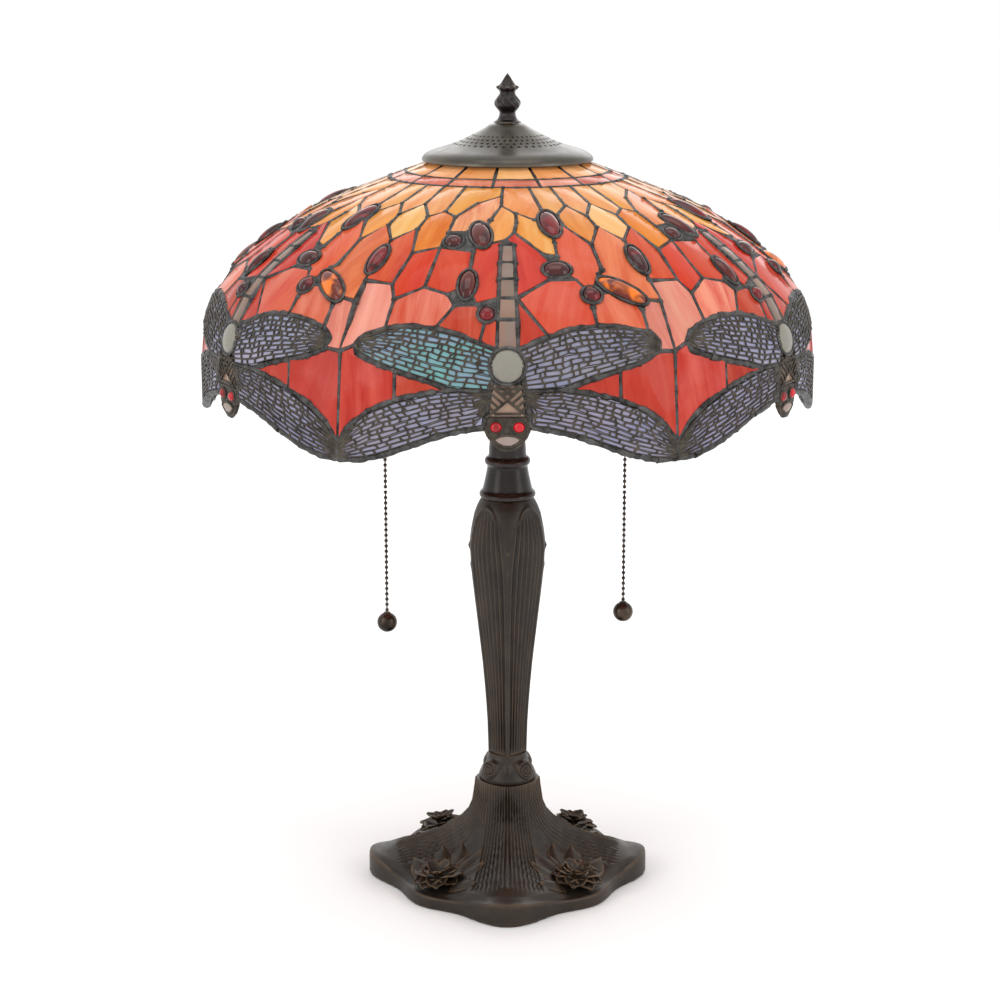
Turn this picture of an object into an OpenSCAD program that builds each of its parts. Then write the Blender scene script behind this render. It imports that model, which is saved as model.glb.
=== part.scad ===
// Stained glass table lamp: a domed copper-foil shade with six dragonflies, two pull-chain
// lampholders on a cluster, and a cast column on a four-lobed leaf and flower base.
// The origin is on the table, at the middle of the base. +Z is up and the front faces -Y.

/* [Shade] */
// Radius of the opening at the top of the glass
opening_r = 50; // [48:1:52]
// Height of the opening above the table
opening_z = 508; // [504:1:512]
// Thickness of the sheet glass
glass_t = 3; // [2.5:0.1:3.2]
// Gap left between two neighbouring panes for foil and solder
pane_gap = 2.4; // [2.2:0.1:2.8]
// Height of a cabochon above its seat
jewel_h = 4.5; // [3:0.5:6]
// Number of panes in each of the two crown rows
crown_count = 16; // [14:1:18]

/* [Column and base] */
// Radius of the column at its widest corner
column_r = 27.1; // [25:0.1:28]
// Reach of the base from the axis to a lobe
base_reach = 99.5; // [96:0.5:104]
// Radius of the threaded tube through the lamp
tube_r = 5; // [4.5:0.1:5]

/* [Lampholders and chains] */
// Distance of each lampholder from the axis
holder_x = 52; // [50:1:54]
// Distance of the left chain from the axis
left_chain_x = 84.5; // [82:0.5:86]
// Distance of the right chain from the axis
right_chain_x = 81; // [80:0.5:86]
// Radius of one bead of the pull chains
bead_r = 1.3; // [1:0.1:1.5]
// Radius of the ball on the end of a chain
ball_r = 7; // [6:0.5:8]

/* [Hidden] */
$fn = 48;
clear = 0.3;

// ---- Shade profile: radius, height and slope at arc length s from the opening ----
crown_slope = 20.7;
hip_slope = 43;
crown_len = 64.14;
upper_arc_r = 213;
lower_arc_r = 78;
upper_len = (hip_slope - crown_slope) * PI / 180 * upper_arc_r;
lower_len = (90 - hip_slope) * PI / 180 * lower_arc_r;
shoulder_s = crown_len + upper_len;
skirt_s = shoulder_s + lower_len;
function slope(s) = s < crown_len ? crown_slope
  : s < shoulder_s ? crown_slope + (s - crown_len) / upper_arc_r * 180 / PI
  : s < skirt_s ? hip_slope + (s - shoulder_s) / lower_arc_r * 180 / PI : 90;
crown_end = [opening_r + crown_len * cos(crown_slope), opening_z - crown_len * sin(crown_slope)];
hip = [crown_end[0] + upper_arc_r * (sin(hip_slope) - sin(crown_slope)),
  crown_end[1] + upper_arc_r * (cos(hip_slope) - cos(crown_slope))];
skirt = [hip[0] + lower_arc_r * (1 - sin(hip_slope)), hip[1] - lower_arc_r * cos(hip_slope)];
function radius_at(s) = s < crown_len ? opening_r + s * cos(crown_slope)
  : s < shoulder_s ? crown_end[0] + upper_arc_r * (sin(slope(s)) - sin(crown_slope))
  : s < skirt_s ? hip[0] + lower_arc_r * (sin(slope(s)) - sin(hip_slope)) : skirt[0];
function height_at(s) = s < crown_len ? opening_z - s * sin(crown_slope)
  : s < shoulder_s ? crown_end[1] + upper_arc_r * (cos(slope(s)) - cos(crown_slope))
  : s < skirt_s ? hip[1] + lower_arc_r * (cos(slope(s)) - cos(hip_slope))
  : skirt[1] - (s - skirt_s);
// A pattern point is [angle round the shade from the front, arc length down the shade].
function on_shade(p) = [radius_at(p[1]) * sin(p[0]), -radius_at(p[1]) * cos(p[0]), height_at(p[1])];
function shade_normal(p) = [sin(slope(p[1])) * sin(p[0]), -sin(slope(p[1])) * cos(p[0]),
  cos(slope(p[1]))];
function unit(v) = v / norm(v);
function mean(list) = [for (i = [0:len(list[0]) - 1]) sum([for (v = list) v[i]]) / len(list)];
function sum(list, i = 0) = i < len(list) ? list[i] + sum(list, i + 1) : 0;

// A frame is [origin, across, up, outward]; a pane's frame is the mean plane of its corners.
function frame_from(origin, outward) = let (across = unit(cross([0, 0, 1], outward)))
  [origin, across, cross(outward, across), outward];
function point_frame(p) = frame_from(on_shade(p), shade_normal(p));
function pane_frame(pts) = let (
    c = [for (p = pts) on_shade(p)],
    m = mean(c),
    n = unit([for (k = [0:2]) sum([for (i = [0:len(c) - 1])
      cross(c[i] - m, c[(i + 1) % len(c)] - m)[k]])]),
    out = n * shade_normal(mean(pts)) > 0 ? n : -n)
  frame_from(m, out);
function flatten_to(f, p3) = [(p3 - f[0]) * f[1], (p3 - f[0]) * f[2]];
module at_frame(f) multmatrix([[f[1][0], f[2][0], f[3][0], f[0][0]], [f[1][1], f[2][1], f[3][1],
  f[0][1]], [f[1][2], f[2][2], f[3][2], f[0][2]], [0, 0, 0, 1]]) children();

// ---- Cartoon of one sixth of the shade, 60 degrees wide ----
sectors = 6;
function nxt(p) = [p[0] + 60, p[1]];
function prv(p) = [p[0] - 60, p[1]];
// Jewels: [centre, half width, half length, tilt]
J = [[[12, 80], 6.3, 15, 0], [[-6.9, 92], 6.2, 13.5, 14], [[-13.4, 99.5], 5.8, 5.8, 0],
  [[-30, 119.5], 5.2, 12.5, 0], [[-8, 137], 5.2, 11.5, 0], [[10.5, 125], 8.4, 6.4, 0],
  [[-3.7, 158.5], 4.9, 4.9, 0], [[16.3, 146], 5.8, 5.8, 0], [[22.9, 144], 6.2, 16.5, 52]];
// Rows of seam corners, from the crown down
A = [[-30, 31], [-19.6, 31], [-11, 31], [-2.1, 31], [3.8, 31], [9.8, 31], [19.9, 31]];
B = [[-30, 57], [-24.7, 73], [-20.2, 66], [-16, 72], [-10.6, 53], [-2.3, 43.5], [-2.1, 57],
  [-5, 75], [2.6, 67], [8, 75], [11.2, 62], [20.3, 58], [15.3, 70], [24.8, 72], [2.6, 78]];
C = [[-15.6, 90], [-10.5, 89], [-25, 88], [25.2, 86], [-16.1, 105.5], [-22.3, 112],
  [-8, 108.5], [1.7, 90], [-0.4, 97], [-4.7, 101], [11.6, 100], [11.2, 113], [8.3, 111],
  [20.8, 103], [15.8, 84], [-30, 101]];
D = [[-23.5, 139], [-16.5, 140], [-21.9, 150], [-11.4, 145], [-5.9, 152], [20.4, 126],
  [19.2, 130], [14, 134], [8.3, 133.5], [26.8, 152], [30, 137], [30, 153.5], [-9.8, 153],
  [16, 155], [25.6, 158.5], [30, 186]];
// Tail corners down the middle line, mirrored left and right
tail_s = [102, 118, 132, 147, 162, 181];
function tail(side, i) = [side * (1.5 + 0.06 * i), tail_s[i]];
// Wing outlines, from the root over the top edge to the tip and back
UR = [tail(1, 5), [7.2, 173.5], [11, 169], [16, 167.5], [21, 169.5], [25.4, 172.8], [27.2, 179],
  [26.8, 185], [23, 191], [19.2, 194.5], [14, 199], [9.2, 204.8], [3, 205.5]];
UL = [tail(-1, 5), [-4.8, 177], [-8.5, 172], [-12.8, 168.5], [-18, 167.8], [-22, 170],
  [-25.5, 175], [-27.2, 181.5], [-26.4, 186.5], [-22.5, 191.5], [-19.2, 195], [-14, 199.5],
  [-9.2, 204.8], [-3, 205.5]];
LR = [[3, 205.5], [9.2, 204.8], [13.5, 207.5], [19.2, 212.5], [24, 220.5], [27.5, 230],
  [30, 241], [30, 251.5], [26.2, 251], [21.5, 246.5], [16.5, 239.5], [11.5, 232.5], [7, 228.5],
  [4, 226.8], [3.7, 221], [3.3, 213]];
LL = [for (p = LR) [-p[0], p[1]]];
upper_split = [[3, 10], [4, 11]];
lower_split = [3, 10];
function part_of(list, from, to) = [for (i = [from:to]) list[i]];
function outer_part(w, cut) = part_of(w, cut[0], cut[1]);
function inner_part(w, cut) = concat(part_of(w, 0, cut[0]), part_of(w, cut[1], len(w) - 1));
upper_wings = [inner_part(UR, upper_split[0]), outer_part(UR, upper_split[0]),
  inner_part(UL, upper_split[1]), outer_part(UL, upper_split[1])];
lower_wings = [inner_part(LR, lower_split), outer_part(LR, lower_split),
  inner_part(LL, lower_split), outer_part(LL, lower_split)];

amber_cells = [
  [A[0], A[1], B[2], B[1], B[0]],
  [A[1], A[2], A[3], B[5], B[4], B[3], B[2]],
  [A[3], A[4], A[5], B[10], J[0][0], B[9], B[8], B[6], B[5]],
  [A[5], A[6], B[11], B[12], J[0][0], B[10]],
  [A[6], nxt(A[0]), nxt(B[0]), B[13], B[11]]];
leaf_cells = [
  [B[0], B[1], C[2], C[15], prv(C[3]), prv(B[13])],
  [B[2], B[3], C[0], C[4], C[5], C[2], B[1]],
  [B[3], B[4], B[5], B[6], B[7], J[1][0], C[1], C[0]],
  [B[6], B[8], B[14], C[7], C[8], C[9], J[1][0], B[7]],
  [B[8], B[9], J[0][0], C[10], C[11], C[12], C[7], B[14]],
  [B[11], B[13], C[3], C[13], C[14], B[12]]];
red_cells = [
  [C[15], C[2], C[5], D[0], prv(D[10]), J[3][0]],
  [C[5], C[4], D[1], D[2], D[0]],
  [C[4], C[6], J[4][0], D[3], D[1]],
  [C[6], J[1][0], C[9], C[8], tail(-1, 0), tail(-1, 3), D[4], J[4][0]],
  [tail(1, 0), C[8], C[7], C[12], J[5][0], D[8], tail(1, 3)],
  [J[0][0], C[14], C[13], D[5], D[6], J[7][0], D[7], J[5][0], C[11], C[10]],
  [C[3], nxt(C[15]), nxt(J[3][0]), D[10], D[11], D[9], J[8][0], D[6], D[5], C[13]]];
rose_cells = [
  [prv(D[10]), D[0], D[2], UL[5], UL[6], UL[7], prv(D[15])],
  [D[2], D[1], D[3], D[12], UL[3], UL[4], UL[5]],
  [D[12], D[4], J[6][0], UL[1], UL[2], UL[3]],
  [J[6][0], tail(-1, 4), UL[0], UL[1]],
  [tail(1, 3), D[8], D[7], J[7][0], D[13], UR[3], UR[2], UR[1]],
  [tail(1, 3), UR[1], UR[0]],
  [J[7][0], J[8][0], D[14], UR[5], UR[4], UR[3], D[13]],
  [D[9], D[11], D[15], UR[7], UR[6], UR[5], D[14]]];
vee_cells = [
  [prv(D[15]), UL[7], UL[8], UL[9], UL[10], LL[3], LL[4], LL[5], LL[6]],
  [UL[10], UL[11], UL[12], LL[2], LL[3]],
  [UR[9], LR[3], LR[2], LR[1], UR[10]],
  [D[15], LR[6], LR[5], LR[4], LR[3], UR[9], UR[8], UR[7]]];
tail_cells = [for (i = [0:4]) [tail(-1, i), tail(1, i), tail(1, i + 1), tail(-1, i + 1)]];
belly_cell = [UL[13], UR[12], [3.3, 213], [3.7, 221], [-3.7, 221], [-3.3, 213]];
head_cell = [[-3.7, 221], [3.7, 221], [4, 226.8], [3.4, 233], [2.2, 238], [0.8, 240.5],
  [-0.8, 240.5], [-2.2, 238], [-3.4, 233], [-4, 226.8]];
mouth_cell = [[-2.2, 234.2], [-1.3, 232.4], [0, 231.8], [1.3, 232.4], [2.2, 234.2], [1.5, 236.4],
  [0.6, 238], [-0.6, 238], [-1.5, 236.4]];
thorax = [[0, 190.5], 10.2, 10.2, 0];
thorax_cell = [UL[0], UR[0], UR[12], UL[13]];
// Pockets too small for glass, which the solder fills
solder_pockets = [[C[0], C[1], J[1][0], C[6], C[4]], [C[8], tail(1, 0), tail(-1, 0)],
  [D[4], tail(-1, 3), tail(-1, 4), J[6][0]], [D[6], J[8][0], J[7][0]],
  [D[3], J[4][0], D[4], D[12]], thorax_cell];
function side_of(s) = [for (j = J) if ((j[1] == j[2]) == s) j];
round_list = side_of(true);
oval_list = side_of(false);
jewel_ring = concat(J, [[nxt(J[3][0]), J[3][1], J[3][2], J[3][3]]], [thorax]);

module around() for (i = [0:sectors - 1]) rotate([0, 0, i * 360 / sectors]) children();

// Outline of a jewel in its own plane, grown by g; round a round jewel its sides touch the circle
function oval(j, g, n) = let (k = j[1] == j[2] ? 1 / cos(180 / n) : 1)
  [for (i = [0:n - 1]) let (t = i * 360 / n, x = k * (j[1] + g) * cos(t),
  y = k * (j[2] + g) * sin(t)) [x * cos(j[3]) - y * sin(j[3]), x * sin(j[3]) + y * cos(j[3])]];
function oval_on_shade(j, g, n) = let (f = point_frame(j[0]))
  [for (q = oval(j, g, n)) f[0] + q[0] * f[1] + q[1] * f[2]];
bezel_w = 1.4;
bezel_gap = 0.2;
pocket_t = glass_t - 0.4;
reach = 75;
oval_n = 10;
seam_split = 0.3;
seam_w = pane_gap / 2 - seam_split - 0.15;
seam_h = glass_t + 0.6;

// A cell's outline in its own plane, moved in by inset and kept grow away from every jewel
module cell_shape(cell, f, inset, grow) difference() {
  offset(delta = -inset) polygon([for (p = cell) flatten_to(f, on_shade(p))]);
  for (j = jewel_ring) if (norm(on_shade(j[0]) - f[0]) < reach)
    polygon([for (q = oval_on_shade(j, grow, oval_n)) flatten_to(f, q)]);
}
// One flat pane, with half the gap left all round it
module pane(cell) {
  f = pane_frame(cell);
  at_frame(f) translate([0, 0, -glass_t / 2]) linear_extrude(glass_t)
    cell_shape(cell, f, pane_gap / 2, bezel_w + pane_gap / 2);
}
module panes(cells) around() for (cell = cells) pane(cell);
// The foil and solder on a pane's edge: half of each seam, round the whole pane
module edging(cell) {
  f = pane_frame(cell);
  at_frame(f) translate([0, 0, -seam_h / 2]) linear_extrude(seam_h) difference() {
    cell_shape(cell, f, seam_split, bezel_w + seam_split);
    cell_shape(cell, f, seam_split + seam_w, bezel_w + seam_split + seam_w);
  }
}

// Crown rows: flat panes between two arc lengths, out of step with the sectors
crown_turn = -7;
crown_rows = [1.5, 20, 31];
function row_cells(row) = [for (i = [0:crown_count - 1]) let (w = 360 / crown_count,
  a = crown_turn + i * w) [[a, crown_rows[row]], [a + w, crown_rows[row]],
  [a + w, crown_rows[row + 1]], [a, crown_rows[row + 1]]]];
module ring_row(row) for (cell = row_cells(row)) pane(cell);

module crown_panes() color([0.93, 0.55, 0.22]) ring_row(0);
module band_panes() color([0.85, 0.4, 0.36]) ring_row(1);
module amber_panes() color([0.94, 0.6, 0.3]) panes(amber_cells);
module leaf_panes() color([0.93, 0.62, 0.22]) panes(leaf_cells);
module red_panes() color([0.83, 0.25, 0.15]) panes(red_cells);
module rose_panes() color([0.88, 0.42, 0.34]) panes(rose_cells);
module vee_panes() color([0.8, 0.24, 0.18]) panes(vee_cells);
module tail_segments() color([0.75, 0.68, 0.62]) panes(tail_cells);
module belly_glass() color([0.78, 0.68, 0.64]) around() pane(belly_cell);

// Cabochons: a round one is a spherical cap, a long one is stepped in from its seat
module round_cap(j, h) at_frame(point_frame(j[0])) translate([0, 0, -glass_t / 2])
  rotate_extrude() {
    square([j[1], glass_t / 2 + 0.5]);
    translate([0, glass_t / 2 + 0.5]) intersection() {
      translate([0, h - 0.5 - (j[1] * j[1] + (h - 0.5) * (h - 0.5)) / (2 * (h - 0.5))])
        circle(r = (j[1] * j[1] + (h - 0.5) * (h - 0.5)) / (2 * (h - 0.5)), $fn = 96);
      square([j[1], h]);
    }
  }
module oval_cap(j, h) at_frame(point_frame(j[0])) translate([0, 0, -glass_t / 2]) {
  linear_extrude(glass_t / 2 + h * 0.55) polygon(oval(j, 0, oval_n));
  translate([0, 0, glass_t / 2 + h * 0.55]) linear_extrude(h * 0.45) polygon(oval(j, -2, oval_n));
}
module round_jewels() color([0.6, 0.05, 0.08]) around()
  for (j = round_list) round_cap(j, jewel_h);
module oval_jewels() color([0.5, 0.08, 0.06]) around() for (j = oval_list) oval_cap(j, jewel_h);
module thorax_glass() color([0.8, 0.79, 0.76]) around() round_cap(thorax, jewel_h);

// Dragonfly body: a pierced lattice over the belly glass, and a head plate with eyes and mouth
plate_t = 1;
plate_lift = glass_t / 2 + plate_t / 2 + 0.1;
module body_lattices() color([0.2, 0.17, 0.14]) around() {
  f = pane_frame(belly_cell);
  at_frame(f) translate([0, 0, plate_lift - plate_t / 2]) linear_extrude(plate_t)
    difference() {
      offset(delta = -0.6) polygon([for (p = belly_cell) flatten_to(f, on_shade(p))]);
      for (side = [-1, 1], row = [0, 1]) translate([side * 4.8, 4.4 - row * 4])
        rotate(side * 30) square([4.4, 1.8], center = true);
      polygon([[-4.2, -5.4], [4.2, -5.4], [0, -1.2]]);
    }
}
eye_x = 1.9;
eye_s = 227;
module dragonfly_heads() color([0.2, 0.17, 0.14]) around() {
  f = pane_frame(head_cell);
  mf = [for (p = mouth_cell) flatten_to(f, on_shade(p))];
  at_frame(f) translate([0, 0, -glass_t / 2]) linear_extrude(glass_t) difference() {
    offset(delta = -0.4) polygon([for (p = head_cell) flatten_to(f, on_shade(p))]);
    offset(delta = clear) polygon(mf);
  }
}
module mouth_glass() color([0.85, 0.8, 0.76]) around() {
  f = pane_frame(head_cell);
  at_frame(f) translate([0, 0, -glass_t / 2]) linear_extrude(glass_t + 0.6)
    polygon([for (p = mouth_cell) flatten_to(f, on_shade(p))]);
}
module eyes() color([0.75, 0.04, 0.08]) around() for (side = [-1, 1])
  at_frame(point_frame([side * eye_x, eye_s])) translate([0, 0, glass_t / 2 + 0.1])
    rotate_extrude() intersection() {
      translate([0, -1.5]) circle(r = 4.4);
      square([4.2, 4]);
    }

module wing_glass(parts) around() for (cell = parts) pane(cell);
window = [34, 10.4];
vein = 2.2;
module wing_filigree(parts) around() for (cell = parts) {
  f = pane_frame(cell);
  outline = [for (p = cell) flatten_to(f, on_shade(p))];
  at_frame(f) translate([0, 0, plate_lift - plate_t / 2]) linear_extrude(plate_t)
    difference() {
      cell_shape(cell, f, 0.7, bezel_w + 0.7);
      intersection() {
        offset(delta = -2.6) polygon(outline);
        for (i = [-2:2], k = [-3:3])
          translate([(i + (k % 2) / 2) * (window[0] + vein), k * (window[1] + vein)])
            square(window, center = true);
      }
    }
}
module upper_wing_glass() color([0.55, 0.58, 0.75]) wing_glass(upper_wings);
module lower_wing_glass() color([0.6, 0.6, 0.8]) wing_glass(lower_wings);
module upper_wing_filigree() color([0.22, 0.19, 0.16]) wing_filigree(upper_wings);
module lower_wing_filigree() color([0.22, 0.19, 0.16]) wing_filigree(lower_wings);

// Solder seams: an edging round every pane, plates in the small pockets and a bezel round every
// jewel
module crown_seams() color([0.25, 0.25, 0.25]) for (row = [0, 1], cell = row_cells(row))
  edging(cell);
module bezel(j) at_frame(point_frame(j[0])) translate([0, 0, -seam_h / 2])
  linear_extrude(seam_h) difference() {
    polygon(oval(j, bezel_w, oval_n));
    polygon(oval(j, bezel_gap, oval_n));
  }
module seams(cells, pockets, jewels) {
  for (cell = cells) edging(cell);
  for (cell = pockets) {
    f = pane_frame(cell);
    at_frame(f) translate([0, 0, -pocket_t / 2]) linear_extrude(pocket_t)
      cell_shape(cell, f, seam_split, bezel_w + seam_split);
  }
  for (j = jewels) bezel(j);
}
module leaf_seams() color([0.25, 0.25, 0.25]) around()
  seams(concat(amber_cells, leaf_cells), [], []);
module red_seams() color([0.25, 0.25, 0.25]) around()
  seams(concat(red_cells, rose_cells, vee_cells), solder_pockets, concat(J, [thorax]));

// ---- Crown fittings ----
module shade_ring() color([0.4, 0.33, 0.2]) translate([0, 0, opening_z + clear])
  rotate_extrude() translate([41, 0]) square([opening_r - 42, 2]);
cap_r = 57.5;
cap_top = 533;
cap_profile = [[3.4, cap_top], [11, cap_top], [17, 529], [25, 525], [33, 521], [44, 517.4],
  [52, 515], [56.3, 512.4], [cap_r, 509.8], [57, 508.2], [55.4, 508.2], [55.6, 510],
  [54.6, 511.6], [51, 513.4], [43.4, 515.8], [32.4, 519.4], [24.2, 523.4], [16.2, 527.4],
  [10.4, cap_top - 1.6], [3.4, cap_top - 1.6]];
vent_rows = [[24, 525], [28.5, 522.8], [33, 520.6], [38, 518.8]];
vent_count = 22;
module heat_cap() color([0.36, 0.33, 0.28]) difference() {
  rotate_extrude($fn = 96) polygon(cap_profile);
  for (row = [0:3], i = [0:vent_count - 1])
    rotate([0, 0, (i + row % 2 / 2) * 360 / vent_count]) translate([vent_rows[row][0], 0, 515])
      scale([1, 0.8, 1]) cylinder(h = 14, r = 1.9, $fn = 4);
}
finial_profile = [[0, 566], [2, 563.4], [4.6, 559.6], [6.9, 556.6], [6.2, 554.6], [5.4, 552.8],
  [7.2, 550], [9.2, 547], [8.6, 544.2], [6.4, 542.2], [5.2, 541], [5.5, 538.8], [6.9, 536],
  [9.3, 534.6], [9.3, 533.3], [4.3, 533.3], [4.3, 540], [0, 540]];
module finial() color([0.16, 0.14, 0.12]) rotate_extrude() polygon(finial_profile);
module finial_insert() color([0.7, 0.55, 0.25]) translate([0, 0, 533.4]) difference() {
  cylinder(h = 6, r = 4);
  translate([0, 0, -1]) cylinder(h = 8, r = 3.2);
}
module finial_stud() color([0.7, 0.55, 0.25]) {
  translate([0, 0, 526]) cylinder(h = 13, r = 3);
  translate([0, 0, 524]) cylinder(h = 5, r = tube_r - 1.3);
}
base_ceiling = 40;
tube_low = base_ceiling - 8;
tube_top = 530.6;
module threaded_tube() color([0.6, 0.58, 0.5]) difference() {
  translate([0, 0, tube_low]) cylinder(h = tube_top - tube_low, r = tube_r);
  translate([0, 0, tube_low - 1]) cylinder(h = tube_top - tube_low + 2, r = tube_r - 1.25);
}
wheel_z = opening_z - 2.6;
module shade_wheel() color([0.4, 0.33, 0.2]) difference() {
  union() {
    translate([0, 0, wheel_z - 1.4]) cylinder(h = 4, r = 12);
    translate([0, 0, wheel_z]) difference() {
      cylinder(h = 2.6, r = 46);
      translate([0, 0, -1]) cylinder(h = 5, r = 38);
    }
    for (i = [0:2]) rotate([0, 0, 30 + i * 120]) translate([8, -3, wheel_z]) cube([33, 6, 2.6]);
  }
  translate([0, 0, wheel_z - 5]) cylinder(h = 12, r = tube_r + 0.1);
}
module hex_nut(z) translate([0, 0, z]) difference() {
  cylinder(h = 3.4, r = 8, $fn = 6);
  translate([0, 0, -1]) cylinder(h = 6, r = tube_r + 0.05);
}
module tube_nuts() color([0.7, 0.55, 0.25]) {
  hex_nut(wheel_z - 5);
  hex_nut(wheel_z + 2.8);
  hex_nut(347.2);
  hex_nut(base_ceiling - 5.6);
}

// ---- Cluster, lampholders and switches ----
cluster_z = 318.4;
arm_z = 334;
module both_sides() for (side = [-1, 1]) translate([side * holder_x, 0, 0]) children();
module cluster_body() color([0.3, 0.25, 0.18]) difference() {
  translate([0, 0, cluster_z]) rotate_extrude() polygon([[0, 0], [11, 0], [16, 5], [17, 12],
    [16, 22], [11, 28], [0, 28]]);
  translate([0, 0, cluster_z - 1]) cylinder(h = 40, r = tube_r + 0.1);
  for (side = [-1, 1]) translate([side * 9, 0, arm_z]) rotate([0, side * 90, 0])
    cylinder(h = 20, r = 5.05);
}
module cluster_arms() color([0.3, 0.25, 0.18]) for (side = [-1, 1]) difference() {
  union() {
    translate([side * 9.4, 0, arm_z]) rotate([0, side * 90, 0])
      cylinder(h = holder_x - 9.4, r = 5);
    translate([side * holder_x, 0, arm_z]) sphere(r = 6.2);
    translate([side * holder_x, 0, arm_z]) cylinder(h = 15, r = 4.9);
  }
  translate([side * 8, 0, arm_z]) rotate([0, side * 90, 0]) cylinder(h = holder_x - 8, r = 3.4);
  translate([side * holder_x, 0, arm_z]) cylinder(h = 20, r = 3.4);
}
cap_z = 343;
shell_z = 356.2;
shell_r = 17.8;
module holder_caps() color([0.62, 0.5, 0.26]) both_sides() rotate_extrude() polygon([[5, cap_z],
  [8, cap_z], [13, cap_z + 4], [shell_r, cap_z + 9], [shell_r, shell_z - 0.2],
  [shell_r - 1, shell_z - 0.2], [shell_r - 1, cap_z + 9.6], [12.6, cap_z + 5.2],
  [7.6, cap_z + 1.2], [5, cap_z + 1.2]]);
outlet_z = 366;
module holder_shells() color([0.62, 0.5, 0.26]) for (side = [-1, 1])
  translate([side * holder_x, 0, 0]) difference() {
    translate([0, 0, shell_z]) cylinder(h = 49, r = shell_r);
    translate([0, 0, shell_z - 1]) cylinder(h = 51, r = shell_r - 0.8);
    translate([0, 0, outlet_z]) rotate([0, side * 90, 0]) cylinder(h = 30, r = 3.4);
  }
drum_r = 6.2;
module switch_bodies() color([0.1, 0.1, 0.1]) both_sides() {
  difference() {
    translate([0, 0, 355]) cylinder(h = 21.5, r = 16.6);
    translate([0, 8, outlet_z]) rotate([90, 0, 0]) cylinder(h = 16, r = drum_r + 0.8);
    translate([0, 0, outlet_z]) rotate([0, 90, 0]) cylinder(h = 40, r = 2.4, center = true);
  }
  translate([0, 9, outlet_z]) rotate([90, 0, 0]) cylinder(h = 18, r = 1.1);
}
module ratchet() difference() {
  union() {
    rotate([90, 0, 0]) cylinder(h = 8, r = 4, center = true);
    for (i = [0:3]) rotate([0, i * 90, 0]) translate([0, -3, -1.4]) cube([drum_r, 6, 2.8]);
  }
  rotate([90, 0, 0]) cylinder(h = 20, r = 1.2, center = true);
}
module left_ratchet() color([0.75, 0.7, 0.6]) translate([-holder_x, 0, outlet_z]) ratchet();
module right_ratchet() color([0.75, 0.7, 0.6]) translate([holder_x, 0, outlet_z]) ratchet();
module screw_shells() color([0.72, 0.6, 0.3]) both_sides() translate([0, 0, 379])
  difference() {
    cylinder(h = 25, r = 14.6);
    translate([0, 0, 1]) cylinder(h = 30, r = 13.7);
    translate([0, 0, -1]) cylinder(h = 3, r = 6);
  }
module centre_contacts() color([0.75, 0.65, 0.35]) both_sides() translate([0, 0, 376.6])
  cylinder(h = 5, r = 3);
bell_mouth = 355;
module bell(side, chain_x) {
  stub = chain_x - holder_x - shell_r - 0.4;
  color([0.2, 0.17, 0.14]) difference() {
    union() {
      translate([side * (chain_x - stub), 0, outlet_z]) rotate([0, side * 90, 0])
        cylinder(h = stub, r = 3.1);
      translate([side * chain_x, 0, outlet_z]) sphere(r = 3.6);
      translate([side * chain_x, 0, 0]) rotate_extrude() polygon([[0, bell_mouth],
        [5, bell_mouth], [4.6, bell_mouth + 2], [3.4, bell_mouth + 5], [3.2, outlet_z],
        [0, outlet_z]]);
    }
    translate([side * chain_x, 0, bell_mouth - 1]) cylinder(h = outlet_z - bell_mouth + 1, r = 2);
    translate([side * (chain_x - stub - 1), 0, outlet_z]) rotate([0, side * 90, 0])
      cylinder(h = stub + 1, r = 2);
  }
}
module chain_bells() {
  bell(-1, left_chain_x);
  bell(1, right_chain_x);
}

// ---- Pull chains: beads on a fine wire, in three lengths, and an end ball ----
bead_pitch = 3.85;
chain_top = 361.5;
link_beads = 2;
upper_beads = 21;
wire_r = 0.5;
left_last = 43;
right_last = 41;
function bead_z(i) = chain_top - i * bead_pitch;
module beads(from, to) {
  for (i = [from:to]) translate([0, 0, bead_z(i)]) sphere(r = bead_r, $fn = 24);
  translate([0, 0, bead_z(to)]) cylinder(h = bead_z(from) - bead_z(to), r = wire_r, $fn = 16);
}
module upper_chain() beads(link_beads, upper_beads - 1);
neck_h = 0.5;
module end_ball(last) translate([0, 0, bead_z(last) - bead_r - 0.15 - ball_r - neck_h]) {
  sphere(r = ball_r);
  cylinder(h = ball_r + neck_h, r = 2.2);
}
bronze = [0.2, 0.17, 0.14];
module left_pull_link() color(bronze) translate([-left_chain_x, 0, 0]) beads(0, link_beads - 1);
module right_pull_link() color(bronze) translate([right_chain_x, 0, 0]) beads(0, link_beads - 1);
module left_chain_upper() color(bronze) translate([-left_chain_x, 0, 0]) upper_chain();
module right_chain_upper() color(bronze) translate([right_chain_x, 0, 0]) upper_chain();
module left_chain_lower() color(bronze) translate([-left_chain_x, 0, 0])
  beads(upper_beads, left_last);
module right_chain_lower() color(bronze) translate([right_chain_x, 0, 0])
  beads(upper_beads, right_last);
module left_chain_ball() color(bronze) translate([-left_chain_x, 0, 0]) end_ball(left_last);
module right_chain_ball() color(bronze) translate([right_chain_x, 0, 0]) end_ball(right_last);

// ---- Bulbs ----
bulb_profile = [[0, 404.6], [13.2, 404.6], [14, 409], [17, 419], [22.5, 430], [27.5, 441],
  [29.8, 452], [29.4, 462], [26.5, 472], [20.5, 480], [12, 484.8], [0, 486.5]];
module bulb_glass() color([0.96, 0.94, 0.9]) both_sides() rotate_extrude()
  polygon(bulb_profile);
module bulb_caps() color([0.75, 0.73, 0.68]) both_sides() rotate_extrude() polygon([[0, 381.8],
  [4, 381.8], [6, 383], [12.8, 386], [13.3, 388], [13.3, 404.4], [0, 404.4]]);

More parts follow.
